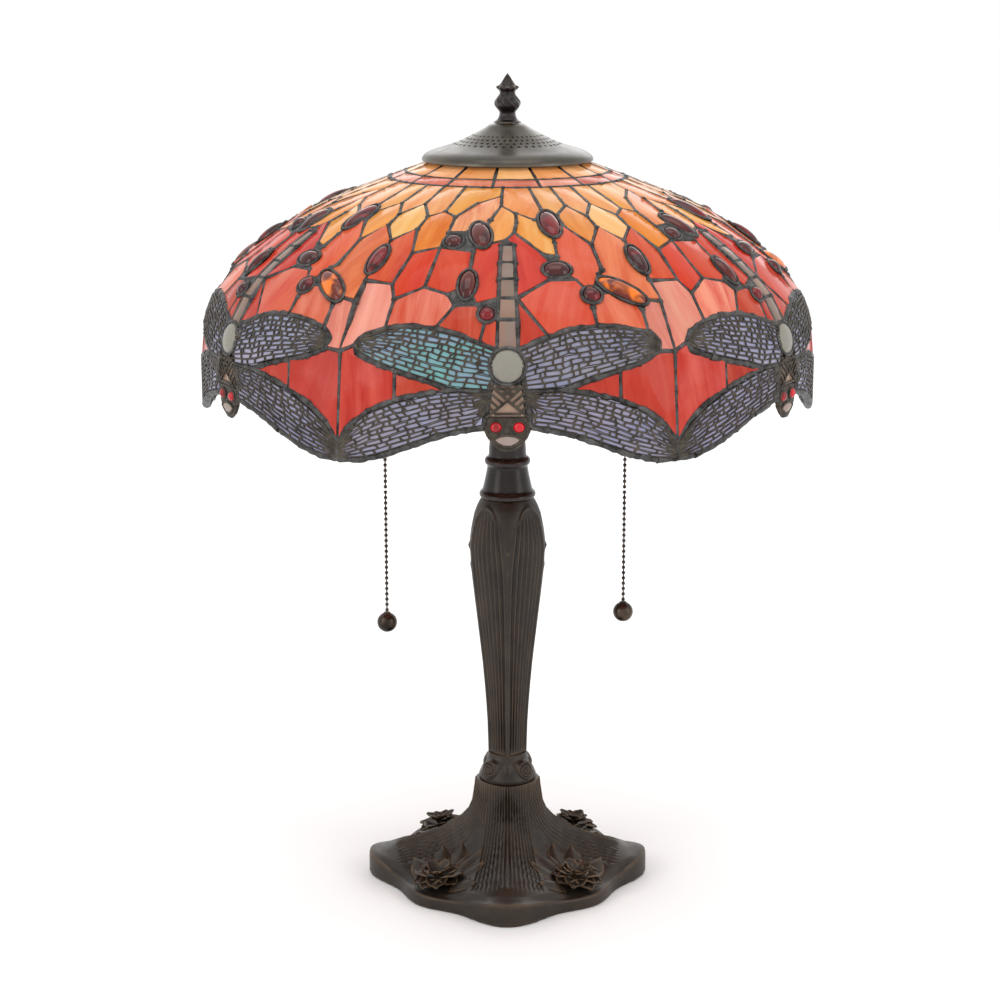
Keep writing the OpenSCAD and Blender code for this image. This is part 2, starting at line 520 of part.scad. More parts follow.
// ---- Column, collar and base: square-cornered sections with the corners to the four sides ----
// Section radius at angle t for corner radius c; p = 2 is round and smaller p is more square
function corner_r(t, c, p) = c / pow(pow(abs(cos(t)), p) + pow(abs(sin(t)), p), 1 / p);
// Closed skin through a list of equal rings
module skin(rings) {
  n = len(rings[0]);
  m = len(rings);
  polyhedron(points = [for (r = rings, p = r) p], faces = concat(
    [[for (i = [n - 1:-1:0]) i]],
    [[for (i = [0:n - 1]) (m - 1) * n + i]],
    [for (k = [0:m - 2], i = [0:n - 1]) [k * n + i, k * n + (i + 1) % n, (k + 1) * n + i]],
    [for (k = [0:m - 2], i = [0:n - 1]) [k * n + (i + 1) % n, (k + 1) * n + (i + 1) % n,
      (k + 1) * n + i]]));
}
round_n = 48;
function section(z, c, p) = [for (i = [0:round_n - 1]) let (t = i * 360 / round_n,
  r = corner_r(t, c, p)) [r * cos(t), r * sin(t), z]];
// [height, corner radius as a share of the widest, squareness]
column_rings = [[92, 0.5, 1.45], [113.8, 0.524, 1.42], [143.2, 0.601, 1.4], [172.7, 0.716, 1.4],
  [202.2, 0.845, 1.42], [225, 0.945, 1.45], [243.4, 1, 1.5], [255, 0.96, 1.55],
  [262, 0.915, 1.6], [268, 0.865, 1.7], [273, 0.795, 1.8], [277.5, 0.71, 2]];
module column_casting() color(bronze) difference() {
  skin([for (r = column_rings) section(r[0], r[1] * column_r, r[2])]);
  cylinder(h = 300, r = 6.4);
}
module column_collar() color(bronze) difference() {
  rotate_extrude() polygon([[0, 277.8], [19, 277.8], [19.2, 281], [17.2, 283.6], [16, 288],
    [15, 294], [14.2, 298], [13.8, 300], [15.4, 301.6], [15.8, 303.6], [15, 305.6],
    [13.2, 306.6], [13, 312], [12, 318], [0, 318]]);
  translate([0, 0, 270]) cylinder(h = 60, r = tube_r + 0.1);
}
collar_profile = [[0, 72.6], [19.4, 72.6], [19.6, 75], [18, 80], [15.8, 85], [12.6, 91.8], [0, 91.8]];
scroll_r = 6;
module volute_collar() color(bronze) difference() {
  union() {
    rotate_extrude() polygon(collar_profile);
    for (i = [0:3]) rotate([0, 0, 45 + i * 90]) translate([6, 0, 81.4]) rotate([0, 90, 0])
      cylinder(h = 12, r = scroll_r);
  }
  translate([0, 0, 60]) cylinder(h = 50, r = tube_r + 0.1);
}
// Base: neck ring, then rings out to the rim, high along the lobes and low between them
neck_z = 72.2;
neck_r = 22.3;
ridge_line = [[18, neck_z], [22.4, 66], [24, 55], [26.5, 49], [32, 43], [40, 37], [50, 31.5],
  [65, 25.5], [80, 21], [92, 18.6], [104, 17.4]];
valley_line = [[16, neck_z], [19.5, 62], [22.5, 50], [27, 39], [34, 28.5], [42, 20.5],
  [52, 15], [64, 12.4], [78, 11], [104, 10]];
function rim_r(t) = base_reach - 9.5 + 5.5 * cos(4 * t) + 4 * cos(8 * t);
function rim_z(t) = 12 + 4 * cos(4 * t) + 1.5 * cos(8 * t);
function ridge_share(t) = pow((1 + cos(4 * t)) / 2, 1.3);
function base_z(t, r) = let (w = ridge_share(t))
  w * lookup(r, ridge_line) + (1 - w) * lookup(r, valley_line);
base_n = 72;
base_steps = [0, 0.03, 0.07, 0.12, 0.19, 0.28, 0.4, 0.55, 0.72, 0.9];
function base_ring(u) = [for (i = [0:base_n - 1]) let (t = i * 360 / base_n,
  r = (1 - u) * corner_r(t, neck_r, 1.6) + u * (rim_r(t) - 2)) [r * cos(t), r * sin(t),
  u == 0 ? neck_z : base_z(t, r)]];
function rim_ring(inset, z_share) = [for (i = [0:base_n - 1]) let (t = i * 360 / base_n,
  r = rim_r(t) - inset) [r * cos(t), r * sin(t), z_share * rim_z(t)]];
felt_t = 1.6;
module base_casting() color(bronze) difference() {
  skin(concat([rim_ring(2, 0), rim_ring(0, 0.12), rim_ring(0.2, 0.8), rim_ring(1.4, 1)],
    [for (k = [len(base_steps) - 1:-1:0]) base_ring(base_steps[k])]));
  translate([0, 0, -1]) cylinder(h = 100, r = tube_r + 0.3);
  translate([0, 0, -1]) cylinder(h = 1 + felt_t, r = 80.3);
  rotate_extrude() polygon([[0, felt_t - 0.1], [78, felt_t - 0.1], [78, 5], [60, 8], [48, 11],
    [38, 15], [29, 22], [20, 32], [13, base_ceiling], [0, base_ceiling]]);
  translate([0, 70, grommet_z]) rotate([-90, 0, 0]) cylinder(h = 40, r = grommet_r);
}
grommet_z = 8;
grommet_r = 5;
module base_washer() color([0.7, 0.7, 0.7]) translate([0, 0, base_ceiling - 2]) difference() {
  cylinder(h = 1.9, r = 11);
  translate([0, 0, -1]) cylinder(h = 5, r = tube_r + 0.1);
}
module felt_pad() color([0.12, 0.25, 0.15]) difference() {
  cylinder(h = felt_t - 0.1, r = 80);
  translate([0, 0, -1]) cylinder(h = 5, r = 12);
}
module cord_grommet() color([0.08, 0.08, 0.08]) translate([0, 0, grommet_z])
  rotate([-90, 0, 0]) difference() {
    union() {
      translate([0, 0, base_reach - 8]) cylinder(h = 8.05, r = grommet_r);
      translate([0, 0, base_reach + 0.05]) cylinder(h = 1.4, r = grommet_r + 1.6);
    }
    translate([0, 0, base_reach - 20]) cylinder(h = 40, r = 3.4);
  }

crown_panes();
band_panes();
amber_panes();
leaf_panes();
red_panes();
rose_panes();
vee_panes();
round_jewels();
oval_jewels();
tail_segments();
thorax_glass();
belly_glass();
mouth_glass();
eyes();
body_lattices();
dragonfly_heads();
upper_wing_glass();
lower_wing_glass();
upper_wing_filigree();
lower_wing_filigree();
crown_seams();
leaf_seams();
red_seams();
shade_ring();
heat_cap();
finial();
finial_insert();
finial_stud();
threaded_tube();
shade_wheel();
tube_nuts();
cluster_body();
cluster_arms();
holder_caps();
holder_shells();
switch_bodies();
screw_shells();
centre_contacts();
left_ratchet();
right_ratchet();
chain_bells();
left_pull_link();
right_pull_link();
left_chain_upper();
right_chain_upper();
left_chain_lower();
right_chain_lower();
left_chain_ball();
right_chain_ball();
bulb_glass();
bulb_caps();
column_collar();
column_casting();
volute_collar();
base_casting();
base_washer();
felt_pad();
cord_grommet();
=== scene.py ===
# %% [markdown]
# # A leaded-glass table lamp
# This lesson builds the looks of a dragonfly table lamp around its measured parts. Each
# step names the real piece, says how it could be made, and then makes it. Sizes are in
# millimetres where the pattern is drawn and in metres where a mesh is made. The lamp
# stands on z = 0, its front faces -Y.

# %% Load the measured lamp
import bpy, math, random
from mathutils import Matrix, Vector


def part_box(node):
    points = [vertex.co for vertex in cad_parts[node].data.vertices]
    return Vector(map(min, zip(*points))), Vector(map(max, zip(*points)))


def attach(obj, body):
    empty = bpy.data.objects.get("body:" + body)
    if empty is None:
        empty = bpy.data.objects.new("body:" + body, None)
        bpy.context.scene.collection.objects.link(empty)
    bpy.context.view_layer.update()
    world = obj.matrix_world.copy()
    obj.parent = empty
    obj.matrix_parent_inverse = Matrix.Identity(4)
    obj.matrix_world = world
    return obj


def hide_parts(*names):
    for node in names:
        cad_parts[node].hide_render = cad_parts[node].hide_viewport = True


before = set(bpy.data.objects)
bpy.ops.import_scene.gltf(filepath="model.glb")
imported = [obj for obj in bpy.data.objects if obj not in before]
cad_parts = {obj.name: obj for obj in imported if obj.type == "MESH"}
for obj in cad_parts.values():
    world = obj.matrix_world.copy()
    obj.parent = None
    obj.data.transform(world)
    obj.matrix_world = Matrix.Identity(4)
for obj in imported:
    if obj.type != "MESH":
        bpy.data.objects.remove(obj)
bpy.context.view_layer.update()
MM = 0.001
TURN = 2 * math.pi
PANE_THICK = 0.003          # metres of glass, and of the plates that lie level with it
SIXTHS = range(0, 360, 60)  # the angles at which the shade's pattern repeats

# %% [markdown]
# The camera comes first, so that everything made later is made for a known view. It
# stands 1.5 m in front of the lamp, looks down a little, and uses a long lens, which keeps
# the dome from bulging.

# %% Camera
bpy.ops.object.camera_add(location=(0, -1.500, 0.6377),
                          rotation=(math.radians(90 - 13.59), 0, 0))
camera = bpy.context.object
camera.data.lens = 80.15
camera.data.shift_x = -0.0075
camera.data.dof.use_dof = False
bpy.context.scene.camera = camera
bpy.context.scene.view_settings.view_transform = "Standard"
print("camera lens", camera.data.lens, "mm")

# %% [markdown]
# A lamp is shown best on a plain pale sweep. One large floor with soft light from both
# sides, from above and from behind gives the metal long soft reflections and leaves the
# glass evenly lit.

# %% Floor and studio lights
def linear(*rgb):
    """Paint-chart colours, 0 to 255, as the linear values that a shader wants."""
    return [c / 255 / 12.92 if c <= 10 else ((c / 255 + 0.055) / 1.055) ** 2.4
            for c in rgb] + [1.0]


bpy.ops.mesh.primitive_plane_add(size=200)
floor = bpy.context.object
floor.name = "studio_floor"
paper = bpy.data.materials.new("pale paper")
paper.use_nodes = True
paper_inputs = paper.node_tree.nodes["Principled BSDF"].inputs
paper_inputs["Base Color"].default_value = (0.93, 0.93, 0.93, 1)
paper_inputs["Roughness"].default_value = 0.9
floor.data.materials.append(paper)
world = bpy.data.worlds.new("studio")
bpy.context.scene.world = world
world.use_nodes = True
backdrop = world.node_tree.nodes["Background"].inputs
backdrop["Color"].default_value = (1, 1, 1, 1)
backdrop["Strength"].default_value = 1.08


def softbox(name, place, aim, size, watts):
    lamp = bpy.data.lights.new(name, "AREA")
    lamp.shape, lamp.energy = "RECTANGLE", watts
    lamp.size, lamp.size_y = size
    holder = bpy.data.objects.new(name, lamp)
    bpy.context.scene.collection.objects.link(holder)
    holder.location = place
    holder.rotation_euler = (Vector(aim) - Vector(place)).to_track_quat("-Z", "Y").to_euler()


softbox("left_softbox", (-1.5, -1.1, 1.0), (0, 0, 0.3), (0.8, 1.4), 7)
softbox("right_softbox", (1.6, -0.9, 0.9), (0, 0, 0.3), (0.7, 1.4), 6)
softbox("top_softbox", (0, -0.3, 2.0), (0, 0, 0.3), (1.4, 1.0), 6)
softbox("back_softbox", (0.2, 1.8, 1.2), (0, 0, 0.35), (1.6, 1.0), 5)

# %% [markdown]
# A few bench habits are used on every piece: work on only that piece, settle its place
# into its mesh, apply each modifier as soon as it is right, merge doubled points, and turn
# all faces outward. The last habit here gives a finished piece its finish and its body, and
# hides the measured nodes that it stands for.

# %% Bench habits
def only(*pieces):
    bpy.ops.object.select_all(action="DESELECT")
    for piece in pieces:
        piece.select_set(True)
    bpy.context.view_layer.objects.active = pieces[0]


def settle(piece):
    only(piece)
    bpy.ops.object.transform_apply(location=True, rotation=True, scale=True)
    return piece


def modify(piece, kind, **settings):
    only(piece)
    modifier = piece.modifiers.new(kind, kind)
    for key, value in settings.items():
        setattr(modifier, key, value)
    bpy.ops.object.modifier_apply(modifier=modifier.name)
    return piece


def join(pieces, name):
    only(*pieces)
    if len(pieces) > 1:
        bpy.ops.object.join()
    pieces[0].name = pieces[0].data.name = name
    return pieces[0]


def smooth(piece, angle=32):
    only(piece)
    bpy.ops.object.shade_smooth_by_angle(angle=math.radians(angle))
    return piece


def copy_of(piece, place):
    twin = piece.copy()
    twin.data = piece.data.copy()
    bpy.context.scene.collection.objects.link(twin)
    twin.data.transform(place)
    return twin


def drop(*pieces):
    for piece in pieces:
        bpy.data.objects.remove(piece)


def triangles(piece):
    return sum(len(p.vertices) - 2 for p in piece.data.polygons)


def mesh_piece(name, points, faces):
    data = bpy.data.meshes.new(name)
    data.from_pydata([tuple(p) for p in points], [], faces)
    piece = bpy.data.objects.new(name, data)
    bpy.context.scene.collection.objects.link(piece)
    return piece


def merge_doubles(piece, gap=1e-6):
    only(piece)
    bpy.ops.object.mode_set(mode="EDIT")
    bpy.ops.mesh.select_all(action="SELECT")
    bpy.ops.mesh.remove_doubles(threshold=gap)
    bpy.ops.object.mode_set(mode="OBJECT")


def face_outwards(piece):
    only(piece)
    bpy.ops.object.mode_set(mode="EDIT")
    bpy.ops.mesh.select_all(action="SELECT")
    bpy.ops.mesh.normals_make_consistent(inside=False)
    bpy.ops.object.mode_set(mode="OBJECT")
    return piece


def dress(piece, finish, body, slot, *nodes):
    piece.data.materials.clear()
    piece.data.materials.append(finish)
    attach(piece, body)
    if nodes:
        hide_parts(*nodes)
    print(piece.name, triangles(piece), "triangles")


print("bench ready; one repeat of the pattern takes", SIXTHS.step, "degrees")

# %% [markdown]
# Finishes are built from nodes. One helper starts a material, one adds a node and wires it,
# and one gives bump, so that each finish below can be read as a short list.

# %% Node helpers
class Finish:
    def __init__(self, name, **sockets):
        self.material = bpy.data.materials.new(name)
        self.material.use_nodes = True
        self.tree = self.material.node_tree
        self.shader = self.tree.nodes["Principled BSDF"]
        for key, value in sockets.items():
            self.shader.inputs[key.replace("_", " ")].default_value = value

    def node(self, kind, inputs=(), **settings):
        made = self.tree.nodes.new("ShaderNode" + kind)
        for key, value in settings.items():
            setattr(made, key, value)
        for key, value in dict(inputs).items():
            if hasattr(value, "is_linked"):
                self.tree.links.new(value, made.inputs[key])
            else:
                made.inputs[key].default_value = value
        return made

    def place(self, scale=(1, 1, 1), kind="Object"):
        where = self.node("TexCoord").outputs[kind]
        return self.node("Mapping", {"Vector": where, "Scale": scale}).outputs[0]

    def grain(self, where, scale, detail=4, rough=0.55, warp=0.0):
        return self.node("TexNoise", {"Vector": where, "Scale": scale, "Detail": detail,
                                      "Roughness": rough, "Distortion": warp}).outputs["Fac"]

    def ramp(self, factor, *stops):
        made = self.node("ValToRGB", {"Fac": factor})
        band = made.color_ramp
        while len(band.elements) < len(stops):
            band.elements.new(0.5)
        for element, (at, color) in zip(band.elements, stops):
            element.position = at
            element.color = color if hasattr(color, "__len__") else (color, color, color, 1)
        return made.outputs["Color"]

    def mix(self, factor, a, b, how="MIX"):
        return self.node("Mix", {0: factor, 6: a, 7: b}, data_type="RGBA",
                         blend_type=how).outputs[2]

    def bump(self, height, strength, distance):
        made = self.node("Bump", {"Height": height, "Strength": strength,
                                  "Distance": distance})
        return made.outputs[0]

    def sheet_colours(self):
        """The two colours that each pane or gem carries on its faces."""
        return [self.node("Attribute", attribute_name=layer).outputs["Color"]
                for layer in ("tint", "wisp")]

    def wire(self, **sources):
        for key, value in sources.items():
            self.tree.links.new(value, self.shader.inputs[key.replace("_", " ")])
        return self.material


print("node helpers:", [name for name in vars(Finish) if not name.startswith("_")])

# %% [markdown]
# Opalescent glass is rolled from two or three colours that never quite mix, so it shows
# long wisps and soft clouds. Each pane here carries its own two colours and its own grain
# direction, as panes cut from different parts of a sheet do. A little painted glow of its
# own, in the pane's own colours, stands for the lamplight that such glass spreads through its
# whole body and keeps the glass evenly lit.

# %% Streaky glass
LONG_STREAK = (14, 95, 14)  # how the wisps are drawn out along a pane
BODY_GREY = (0.57, 0.57, 0.57, 1)


def streaky_glass(name, painted_glow, cloud=11.0, roughness=(0.1, 0.24)):
    # Emission in each pane's own colours is a painted glow.
    f = Finish(name, Coat_Weight=0.03, Coat_Roughness=0.12, Emission_Strength=painted_glow,
               Specular_IOR_Level=0.16)
    wisps = f.grain(f.place(LONG_STREAK, "UV"), 1.0, 5, 0.6, 0.5)
    clouds = f.grain(f.place((1, 1, 1), "UV"), cloud * 3, 3, 0.5, 0.6)
    first, second = f.sheet_colours()
    streaked = f.mix(f.ramp(wisps, (0.36, 0.0), (0.66, 1.0)), first, second)
    pale = f.mix(0.22, second, (1, 1, 1, 1), "SCREEN")
    color = f.mix(f.ramp(clouds, (0.55, 0.0), (0.85, 0.16)), streaked, pale)
    body = f.mix(1.0, color, BODY_GREY, "MULTIPLY")
    ripple = f.grain(f.place((1, 2.2, 1), "UV"), 90, 2)
    fine = f.bump(ripple, 0.3, 0.0006)
    gloss = f.ramp(clouds, (0.3, roughness[0]), (0.75, roughness[1]))
    return f.wire(Base_Color=body, Emission_Color=color, Roughness=gloss, Normal=fine)


warm_glass = streaky_glass("streaky warm glass", 0.24)
opal_glass = streaky_glass("milky opal glass", 0.12)
wing_glass_finish = streaky_glass("periwinkle opal glass", 0.3, 16.0)
print("glass finishes made")

# %% [markdown]
# Solder runs over the copper foil as a rounded, slightly lumpy bead, and the patina turns
# it a dark gunmetal. One noise both raises the lumps and paints them lighter: a patina that
# varies, and a painted highlight on the high spots.

# %% Solder
def dark_metal(name, low, high, roughness, grain, bump, distance, metal=0.85):
    f = Finish(name, Metallic=metal)
    where = f.place()
    patina_and_highlight = f.grain(where, grain * 0.35, 5, 0.6)
    fine = f.grain(where, grain * 3, 3, 0.6)
    # The colour follows the lumps: varied patina, and a painted highlight where they are high.
    color = f.ramp(patina_and_highlight, (0.34, low), (0.66, high))
    gloss = f.ramp(f.grain(where, grain, 4), (0.3, roughness[0]), (0.7, roughness[1]))
    lumps = f.node("Math", {0: patina_and_highlight, 1: fine}, operation="ADD").outputs[0]
    return f.wire(Base_Color=color, Roughness=gloss, Normal=f.bump(lumps, bump, distance))


solder = dark_metal("patinated solder", linear(38, 37, 36), linear(92, 91, 90), (0.3, 0.52),
                    420.0, 0.6, 0.0007)
lace_metal = dark_metal("blackened brass lace", linear(46, 39, 33), linear(80, 72, 62),
                        (0.42, 0.62), 500.0, 0.3, 0.0002, 0.6)
print("metal finishes made")

# %% [markdown]
# ## The shade
# The dome is drawn the way a shade maker draws it: as a profile, and as a flat cartoon of
# one sixth of it. A cartoon point is an angle round the shade from the front and a length
# down the glass from the top opening, and one function carries it onto the dome.

# %% Dome profile
OPENING_R, OPENING_Z = 50.0, 508.0
CROWN, HIP, CROWN_LEN, UPPER_R, LOWER_R = 20.7, 43.0, 64.14, 213.0, 78.0
SHOULDER = CROWN_LEN + math.radians(HIP - CROWN) * UPPER_R
SKIRT = SHOULDER + math.radians(90 - HIP) * LOWER_R


def sind(a): return math.sin(math.radians(a))
def cosd(a): return math.cos(math.radians(a))


CROWN_END = (OPENING_R + CROWN_LEN * cosd(CROWN), OPENING_Z - CROWN_LEN * sind(CROWN))
HIP_END = (CROWN_END[0] + UPPER_R * (sind(HIP) - sind(CROWN)),
           CROWN_END[1] + UPPER_R * (cosd(HIP) - cosd(CROWN)))
SKIRT_END = (HIP_END[0] + LOWER_R * (1 - sind(HIP)), HIP_END[1] - LOWER_R * cosd(HIP))


def profile(s):
    """Radius, height and slope of the glass at a length s from the opening."""
    if s < CROWN_LEN:
        return OPENING_R + s * cosd(CROWN), OPENING_Z - s * sind(CROWN), CROWN
    if s < SHOULDER:
        a = CROWN + math.degrees((s - CROWN_LEN) / UPPER_R)
        return (CROWN_END[0] + UPPER_R * (sind(a) - sind(CROWN)),
                CROWN_END[1] + UPPER_R * (cosd(a) - cosd(CROWN)), a)
    if s < SKIRT:
        a = HIP + math.degrees((s - SHOULDER) / LOWER_R)
        return (HIP_END[0] + LOWER_R * (sind(a) - sind(HIP)),
                HIP_END[1] + LOWER_R * (cosd(a) - cosd(HIP)), a)
    return SKIRT_END[0], SKIRT_END[1] - (s - SKIRT), 90.0


def outward(p):
    a = profile(p[1])[2]
    return Vector((sind(a) * sind(p[0]), -sind(a) * cosd(p[0]), cosd(a)))


def on_shade(p, lift=0.0):
    r, z, _ = profile(p[1])
    return (Vector((r * sind(p[0]), -r * cosd(p[0]), z)) + outward(p) * lift) * MM


def seat(p, lift=0.0, tilt=0.0):
    """A frame on the glass: X across, Y up the dome, Z outward."""
    z = outward(p)
    x = Vector((0, 0, 1)).cross(z).normalized()
    turn = Matrix((x, z.cross(x), z)).transposed().to_4x4()
    lean = Matrix.Rotation(math.radians(tilt), 4, "Z")
    return Matrix.Translation(on_shade(p, lift)) @ turn @ lean


print("glass is", round(2 * SKIRT_END[0]), "mm across; its straight skirt starts at",
      round(SKIRT_END[1]), "mm")

# %% [markdown]
# The cartoon repeats six times. The jewels come first, each with its place, half width, half
# length and tilt. Rows of seam corners A to D run from the crown down, then come the tail,
# the four wings, the head and the belly of one dragonfly, and the corners that are filled
# with solder. A cell is a pane: the list of its corners in order.

# %% Cartoon corners
def nxt(p): return (p[0] + 60, p[1])
def prv(p): return (p[0] - 60, p[1])


JEWELS = [((12, 80), 6.3, 15, 0), ((-6.9, 92), 6.2, 13.5, 14), ((-13.4, 99.5), 5.8, 5.8, 0),
          ((-30, 119.5), 5.2, 12.5, 0), ((-8, 137), 5.2, 11.5, 0), ((10.5, 125), 8.4, 6.4, 0),
          ((-3.7, 158.5), 4.9, 4.9, 0), ((16.3, 146), 5.8, 5.8, 0), ((22.9, 144), 6.2, 16.5, 52)]
J = [jewel[0] for jewel in JEWELS]
A = [(-30, 31), (-19.6, 31), (-11, 31), (-2.1, 31), (3.8, 31), (9.8, 31), (19.9, 31)]
B = [(-30, 57), (-24.7, 73), (-20.2, 66), (-16, 72), (-10.6, 53), (-2.3, 43.5), (-2.1, 57),
     (-5, 75), (2.6, 67), (8, 75), (11.2, 62), (20.3, 58), (15.3, 70), (24.8, 72), (2.6, 78)]
C = [(-15.6, 90), (-10.5, 89), (-25, 88), (25.2, 86), (-16.1, 105.5), (-22.3, 112),
     (-8, 108.5), (1.7, 90), (-0.4, 97), (-4.7, 101), (11.6, 100), (11.2, 113), (8.3, 111),
     (20.8, 103), (15.8, 84), (-30, 101)]
D = [(-23.5, 139), (-16.5, 140), (-21.9, 150), (-11.4, 145), (-5.9, 152), (20.4, 126),
     (19.2, 130), (14, 134), (8.3, 133.5), (26.8, 152), (30, 137), (30, 153.5), (-9.8, 153),
     (16, 155), (25.6, 158.5), (30, 186)]


def tail(side, i):
    return (side * (1.5 + 0.06 * i), (102, 118, 132, 147, 162, 181)[i])


UR = [tail(1, 5), (7.2, 173.5), (11, 169), (16, 167.5), (21, 169.5), (25.4, 172.8), (27.2, 179),
      (26.8, 185), (23, 191), (19.2, 194.5), (14, 199), (9.2, 204.8), (3, 205.5)]
UL = [tail(-1, 5), (-4.8, 177), (-8.5, 172), (-12.8, 168.5), (-18, 167.8), (-22, 170),
      (-25.5, 175), (-27.2, 181.5), (-26.4, 186.5), (-22.5, 191.5), (-19.2, 195), (-14, 199.5),
      (-9.2, 204.8), (-3, 205.5)]
LR = [(3, 205.5), (9.2, 204.8), (13.5, 207.5), (19.2, 212.5), (24, 220.5), (27.5, 230),
      (30, 241), (30, 251.5), (26.2, 251), (21.5, 246.5), (16.5, 239.5), (11.5, 232.5), (7, 228.5),
      (4, 226.8), (3.7, 221), (3.3, 213)]
LL = [(-a, s) for a, s in LR]
HEAD = [(-3.5, 221), (3.5, 221), (3.65, 226.5), (3.1, 232), (2.1, 236.8), (0.8, 240),
        (-0.8, 240), (-2.1, 236.8), (-3.1, 232), (-3.65, 226.5)]
MOUTH = [(-2.2, 234.2), (-1.3, 232.4), (0, 231.8), (1.3, 232.4), (2.2, 234.2), (1.5, 236.4),
         (0.6, 238), (-0.6, 238), (-1.5, 236.4)]
THORAX = ((0, 190.5), 10.2, 10.2, 0)
VENTER = [(-2.9, 200.6), (2.9, 200.6), (3.3, 213), (3.7, 221), (-3.7, 221), (-3.3, 213)]
POCKETS = [[C[0], C[1], J[1], C[6], C[4]], [C[8], tail(1, 0), tail(-1, 0)],
           [D[4], tail(-1, 3), tail(-1, 4), J[6]], [D[6], J[8], J[7]], [D[3], J[4], D[4], D[12]],
           [J[8], D[9], D[14]], [J[5], D[7], D[8]], [J[0], B[12], C[14]],
           [C[12], C[11], J[5]],
           [UL[0], UR[0], UR[12], (2.8, 202), (-2.8, 202), UL[13]]]

# %% Cartoon cells
amber_cells = [
    [A[0], A[1], B[2], B[1], B[0]],
    [A[1], A[2], A[3], B[5], B[4], B[3], B[2]],
    [A[3], A[4], A[5], B[10], J[0], B[9], B[8], B[6], B[5]],
    [A[5], A[6], B[11], B[12], J[0], B[10]],
    [A[6], nxt(A[0]), nxt(B[0]), B[13], B[11]]]
leaf_cells = [
    [B[0], B[1], C[2], C[15], prv(C[3]), prv(B[13])],
    [B[2], B[3], C[0], C[4], C[5], C[2], B[1]],
    [B[3], B[4], B[5], B[6], B[7], J[1], C[1], C[0]],
    [B[6], B[8], B[14], C[7], C[8], C[9], J[1], B[7]],
    [B[8], B[9], J[0], C[10], C[11], C[12], C[7], B[14]],
    [B[11], B[13], C[3], C[13], C[14], B[12]]]
red_cells = [
    [C[15], C[2], C[5], D[0], prv(D[10]), J[3]],
    [C[5], C[4], D[1], D[2], D[0]],
    [C[4], C[6], J[4], D[3], D[1]],
    [C[6], J[1], C[9], C[8], tail(-1, 0), tail(-1, 3), D[4], J[4]],
    [tail(1, 0), C[8], C[7], C[12], J[5], D[8], tail(1, 3)],
    [J[0], C[14], C[13], D[5], D[6], J[7], D[7], J[5], C[11], C[10]],
    [C[3], nxt(C[15]), nxt(J[3]), D[10], D[11], D[9], J[8], D[6], D[5], C[13]]]
rose_cells = [
    [prv(D[10]), D[0], D[2], UL[5], UL[6], UL[7], prv(D[15])],
    [D[2], D[1], D[3], D[12], UL[3], UL[4], UL[5]],
    [D[12], D[4], J[6], UL[1], UL[2], UL[3]],
    [J[6], tail(-1, 4), UL[0], UL[1]],
    [tail(1, 3), D[8], D[7], J[7], D[13], UR[3], UR[2], UR[1]],
    [tail(1, 3), UR[1], UR[0]],
    [J[7], J[8], D[14], UR[5], UR[4], UR[3], D[13]],
    [D[9], D[11], D[15], UR[7], UR[6], UR[5], D[14]]]
vee_cells = [
    [prv(D[15]), UL[7], UL[8], UL[9], UL[10], LL[3], LL[4], LL[5], LL[6]],
    [UL[10], UL[11], UL[12], LL[2], LL[3]],
    [UR[9], LR[3], LR[2], LR[1], UR[10]],
    [D[15], LR[6], LR[5], LR[4], LR[3], UR[9], UR[8], UR[7]]]
tail_cells = [[tail(-1, i), tail(1, i), tail(1, i + 1), tail(-1, i + 1)] for i in range(5)]
CROWN_ROWS = (1.5, 20, 31)
CROWN_COUNT, CROWN_START = 16, -7


def crown_cells(row):
    top, foot = CROWN_ROWS[row:row + 2]
    joints = [CROWN_START + i * 360 / CROWN_COUNT for i in range(CROWN_COUNT + 1)]
    return [[(a, top), (b, top), (b, foot), (a, foot)] for a, b in zip(joints, joints[1:])]


def six_times(cells):
    return [[(a + turn, s) for a, s in cell] for turn in SIXTHS for cell in cells]


def round_pairs(points):
    """Each point with the next one, and the last with the first."""
    return zip(points, points[1:] + points[:1])


all_cells = amber_cells + leaf_cells + red_cells + rose_cells + vee_cells
print(len(six_times(all_cells)) + 2 * CROWN_COUNT, "warm panes in the shade")

# %% [markdown]
# Each pane is cut from flat sheet: its corners are laid flat on their mean plane. All panes
# of a row are drawn as faces of one mesh, inset one by one to leave room for the foil, and
# the rims deleted; Solidify then gives 3 mm of glass and Bevel breaks the cut edges. The two
# colours of a pane go on its face, and its UVs carry the direction of the streaks.

# %% Cutting panes
rng = random.Random(7)


def flat(cell):
    pts = [on_shade(p) for p in cell]
    middle = sum(pts, Vector()) / len(pts)
    n = Vector()
    for a, b in round_pairs(pts):
        n += (a - middle).cross(b - middle)
    n.normalize()
    face_out = n.dot(outward([sum(c) / len(cell) for c in zip(*cell)])) > 0
    pts = [p - n * (p - middle).dot(n) for p in pts]
    return (pts if face_out else pts[::-1]), middle, (n if face_out else -n)


def paint_faces(piece, colours):
    for slot, index in (("tint", 0), ("wisp", 1)):
        layer = piece.data.attributes.new(slot, "FLOAT_COLOR", "FACE")
        for i, pair in enumerate(colours):
            layer.data[i].color = pair[index]


def lay_grain(piece, middles, normals, turns):
    layer = piece.data.uv_layers.new(name="grain")
    for face, middle, n, turn in zip(piece.data.polygons, middles, normals, turns):
        x = Vector((0, 0, 1)).cross(n).normalized()
        y = n.cross(x)
        shift = (rng.uniform(0, 50), rng.uniform(0, 50))
        for loop in face.loop_indices:
            d = piece.data.vertices[piece.data.loops[loop].vertex_index].co - middle
            u, v = d.dot(x), d.dot(y)
            layer.data[loop].uv = (v * math.cos(turn) + u * math.sin(turn) + shift[0],
                                   u * math.cos(turn) - v * math.sin(turn) + shift[1])


FOIL_GAP = 0.0009  # metres taken off each edge of a pane to leave room for the foil


